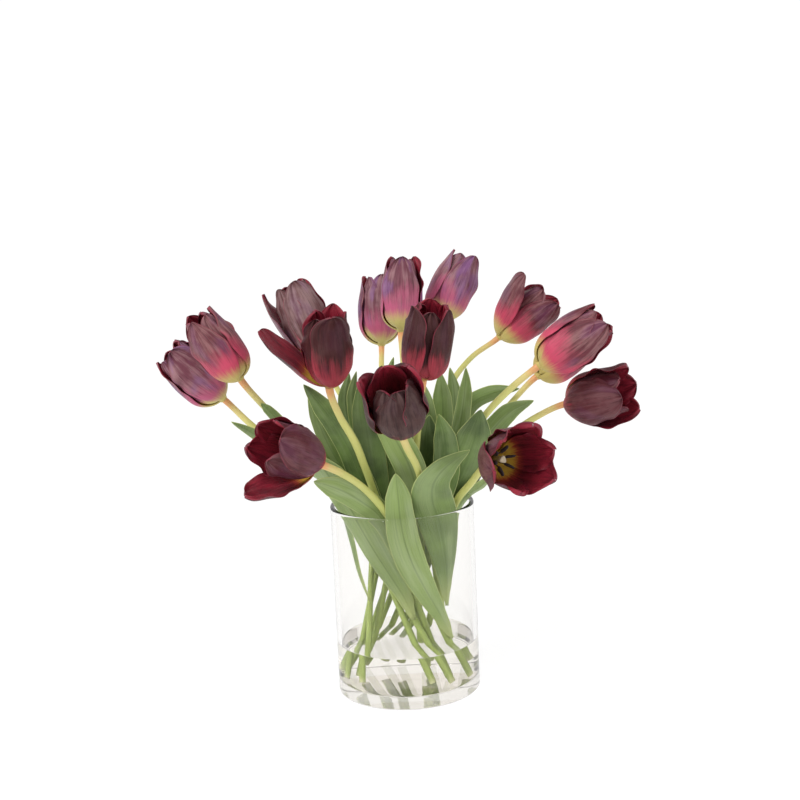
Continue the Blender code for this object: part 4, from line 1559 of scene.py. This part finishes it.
    @staticmethod
    def relief(form: PetalForm, draw: np.random.Generator, t: Array, c: Array) -> Array:
        """How far the petal's surface stands out: ruffled margins, a midrib groove, soft waves.

        Args:
            form: the petal's form.
            draw: the petal's own random numbers.
            t: the place along the petal, as a column.
            c: the place across the petal, as a row.

        Returns:
            The relief at each point.
        """
        edge = np.abs(c)
        count, phase = draw.uniform(2.2, 4.2, 2), draw.random(4)
        low = np.sin(2 * math.pi * (count[0] * t + phase[0]))
        high = np.sin(2 * math.pi * (count[1] * t + phase[1]))
        ruffle = form.ruffle * np.where(c < 0, low, high) * edge**3 * smooth_step(0.3, 0.8, t)
        groove = -0.3 * np.exp(-((c / 0.07) ** 2)) * smooth_step(0.06, 0.2, t)
        groove = groove * (1 - smooth_step(0.8, 0.98, t))
        wave = 0.45 * np.sin(2 * math.pi * (1.1 * t + phase[2]) + 2.6 * c) * smooth_step(0.1, 0.35, t)
        tip = np.sin(2 * math.pi * (1.6 * c + phase[1])) * smooth_step(0.7, 1.0, t)
        ruffle = ruffle + 0.8 * form.ruffle * tip
        wave = wave + 0.3 * np.sin(2 * math.pi * (0.9 * c + phase[3]) + 3.0 * t) * smooth_step(0.1, 0.4, t)
        return ruffle + groove + wave

    def build(self, material: Material) -> None:
        """Make the petals and the knob they stand on.

        Args:
            material: the petals' material.
        """
        knob = Shape.turned(self.KNOB, self.KNOB_SIDES)
        knob = knob.marked(along=0.02, across=0.0, rim=0.0, seed=0.5, tone=0.5, inside=0.0)
        shape = Shape.gathered([self.petal(form) for form in self.forms()] + [knob])
        piece = shape.placed(self.axes, self.base).as_object("bloom_petals_" + self.flower.name, material)
        present(piece, "petal", "bloom_" + self.flower.name)


@dataclass
class BloomHeart:
    """What stands inside a bloom: six stamens round a pistil."""

    bloom: Bloom
    filament: float = 12.0
    anther: float = 16.0
    ring: float = 3.0
    foot: float = 5.5
    lean: float = 8.0
    uneven: float = 7.0
    column: Profile = (
        (0.0, 0.0), (2.6, 0.2), (3.0, 4.0), (2.8, 9.0), (2.2, 13.5), (2.0, 15.0), (3.2, 16.2), (3.6, 17.4),
        (2.8, 18.6), (1.2, 18.2), (0.0, 17.8),
    )

    def stamen(self) -> Shape:
        """Model one stamen.

        Returns:
            The stamen, standing on the origin.
        """
        stalk_top = self.filament
        line = [(0.0, 0.0), (1.25, 0.1), (1.1, stalk_top * 0.4), (0.6, stalk_top * 0.9)]
        stalk = Shape.turned(line + [(0.4, stalk_top), (0.0, stalk_top)], 8)
        stalk = stalk.marked(along=stalk.points[:, 2] / stalk_top, anther=0.0)
        rise = np.linspace(0.0, 1.0, 9)
        widths = 1.9 * np.sqrt(np.clip(1.0 - (2.0 * rise - 1.0) ** 4, 0.0, 1.0)) * (1.05 - 0.25 * rise)
        low = stalk_top * 0.85
        cap = [(float(w), low + self.anther * float(s)) for w, s in zip(widths, rise)]
        cap = [(0.0, low)] + cap[1:-1] + [(0.0, low + self.anther)]
        head = Shape.turned(cap, 12, lobes=2, lobe_depth=0.28)
        head.points[:, 0] += 0.05 * (head.points[:, 2] - low) ** 1.5 * 0.35
        head = head.marked(along=1.0, anther=1.0)
        return Shape.gathered([stalk, head])

    def build_stamens(self, rule: GeometryRule, material: Material) -> None:
        """Make the ring of stamens.

        Args:
            rule: the whorl rule.
            material: the stamens' material.
        """
        flower = self.bloom.flower
        piece = self.stamen().as_object("bloom_stamens_" + flower.name)
        lean = math.radians(self.lean + 1.1 * flower.lean)
        values = {"Count": STAMENS, "Seed": int(flower.name), "Material": material}
        uneven = math.radians(self.uneven)
        rule.apply(piece, values | {"Ring": self.ring * MM, "Lean": lean, "Unevenness": uneven})
        matrix = Matrix(self.bloom.axes.tolist()).to_4x4()
        matrix.translation = Vector((self.bloom.base + self.bloom.axes[:, 2] * self.foot) * MM)
        piece.data.transform(matrix)
        piece.data.shade_smooth()
        present(piece, "petal")

    def build_pistil(self, material: Material) -> None:
        """Make the pistil.

        Args:
            material: the pistils' material.
        """
        shape = Shape.turned(self.column, 36, lobes=3, lobe_depth=0.16)
        shape = shape.marked(along=shape.points[:, 2] / max(height for _, height in self.column))
        foot = self.bloom.base + self.bloom.axes[:, 2] * self.foot
        name = "bloom_pistil_" + self.bloom.flower.name
        piece = shape.placed(self.bloom.axes, foot).as_object(name, material)
        present(piece, "petal")


# ---- studio


@dataclass
class Studio:
    """A pale floor, soft light from all round and a broad lamp above the camera's left."""

    floor_radius: float = 4200.0
    floor_sweep: float = 1500.0
    floor_thick: float = 10.0
    wall_height: float = 2600.0
    sky: Colour = (1.0, 1.0, 1.0)
    sky_strength: float = 0.72
    camera_back: float = 1418.5
    camera_height: float = 553.7
    camera_pitch: float = 9.84
    camera_yaw: float = 0.11
    camera_roll: float = -2.48
    camera_lens: float = 62.8

    def build_floor(self) -> None:
        """Make the floor, which is no part of the object."""
        wide, sweep, thick = self.floor_radius, self.floor_sweep, self.floor_thick
        inner = [(0.0, -0.05), (wide * 0.5, -0.05)] + arc(wide - sweep, sweep - 0.05, sweep, -90, 0, 24)
        outer = [(radius + thick, height - thick) for radius, height in inner[1:]]
        profile = [(0.0, -thick)] + outer + [(wide, self.wall_height)] + inner[:0:-1] + [inner[0]]
        floor = Shape.turned(profile, 128).as_object("pale_floor", FloorFinish().material(), sharp=30)

    def build_light(self) -> None:
        """Make the even light of the room and the lamps."""
        world = bpy.data.worlds.new("soft_room")
        world.use_nodes = True
        shade = world.node_tree.nodes["Background"]
        shade.inputs["Color"].default_value = (*self.sky, 1.0)
        shade.inputs["Strength"].default_value = self.sky_strength
        bpy.context.scene.world = world
        self.lamp("key_lamp", (-1000.0, -1000.0, 1600.0), 800.0, 20.0)
        self.lamp("fill_lamp", (1300.0, -900.0, 700.0), 900.0, 4.0)

    def lamp(self, name: str, place: Point, size: float, power: float) -> None:
        """Make a square lamp that faces the blooms.

        Args:
            name: its name.
            place: where it is.
            size: its side's length.
            power: its power in watts.
        """
        data = bpy.data.lights.new(name, "AREA")
        data.shape = "SQUARE"
        data.size = size * MM
        data.energy = power
        lamp = bpy.data.objects.new(name, data)
        lamp.location = Vector(place) * MM
        lamp.rotation_mode = "QUATERNION"
        lamp.rotation_quaternion = (Vector((0.0, 0.0, 0.28)) - lamp.location).to_track_quat("-Z", "Y")
        bpy.context.scene.collection.objects.link(lamp)

    def build_camera(self) -> None:
        """Make the camera, in front of the vase and looking a little down."""
        data = bpy.data.cameras.new("camera")
        data.lens = self.camera_lens
        camera = bpy.data.objects.new("camera", data)
        turn = Matrix.Rotation(math.radians(-self.camera_yaw), 4, "Z")
        turn = turn @ Matrix.Rotation(math.radians(90.0 - self.camera_pitch), 4, "X")
        turn = turn @ Matrix.Rotation(math.radians(self.camera_roll), 4, "Z")
        place = Vector((0.0, -self.camera_back, self.camera_height)) * MM
        camera.matrix_world = Matrix.Translation(place) @ turn
        bpy.context.scene.collection.objects.link(camera)
        bpy.context.scene.camera = camera

    def build(self) -> None:
        """Make the whole studio."""
        self.build_floor()
        self.build_light()
        self.build_camera()
        bpy.context.scene.view_settings.view_transform = "Standard"


def main() -> None:
    """Build every piece, in order, and the studio around them."""
    logging.basicConfig(level=logging.INFO, format="%(name)s %(message)s")
    Studio().build()
    vase = Vase()
    vase.build()
    stems = [Stem(flower) for flower in FLOWERS]
    Water(vase).build(stems)
    tube, stem_material = tube_rule(), StemFinish().material()
    for stem in stems:
        stem.build(tube, stem_material)
    leaf_material = LeafFinish().material()
    for plan in LEAVES:
        Leaf(plan).build(leaf_material)
    petal_materials = {tint: tint.value.material() for tint in Tint}
    whorl, stamen_material = whorl_rule(), StamenFinish().material()
    pistil_material = PistilFinish().material()
    for flower in FLOWERS:
        bloom = Bloom(flower)
        bloom.build(petal_materials[flower.tint])
        heart = BloomHeart(bloom)
        heart.build_stamens(whorl, stamen_material)
        heart.build_pistil(pistil_material)


if __name__ == "__main__":
    main()
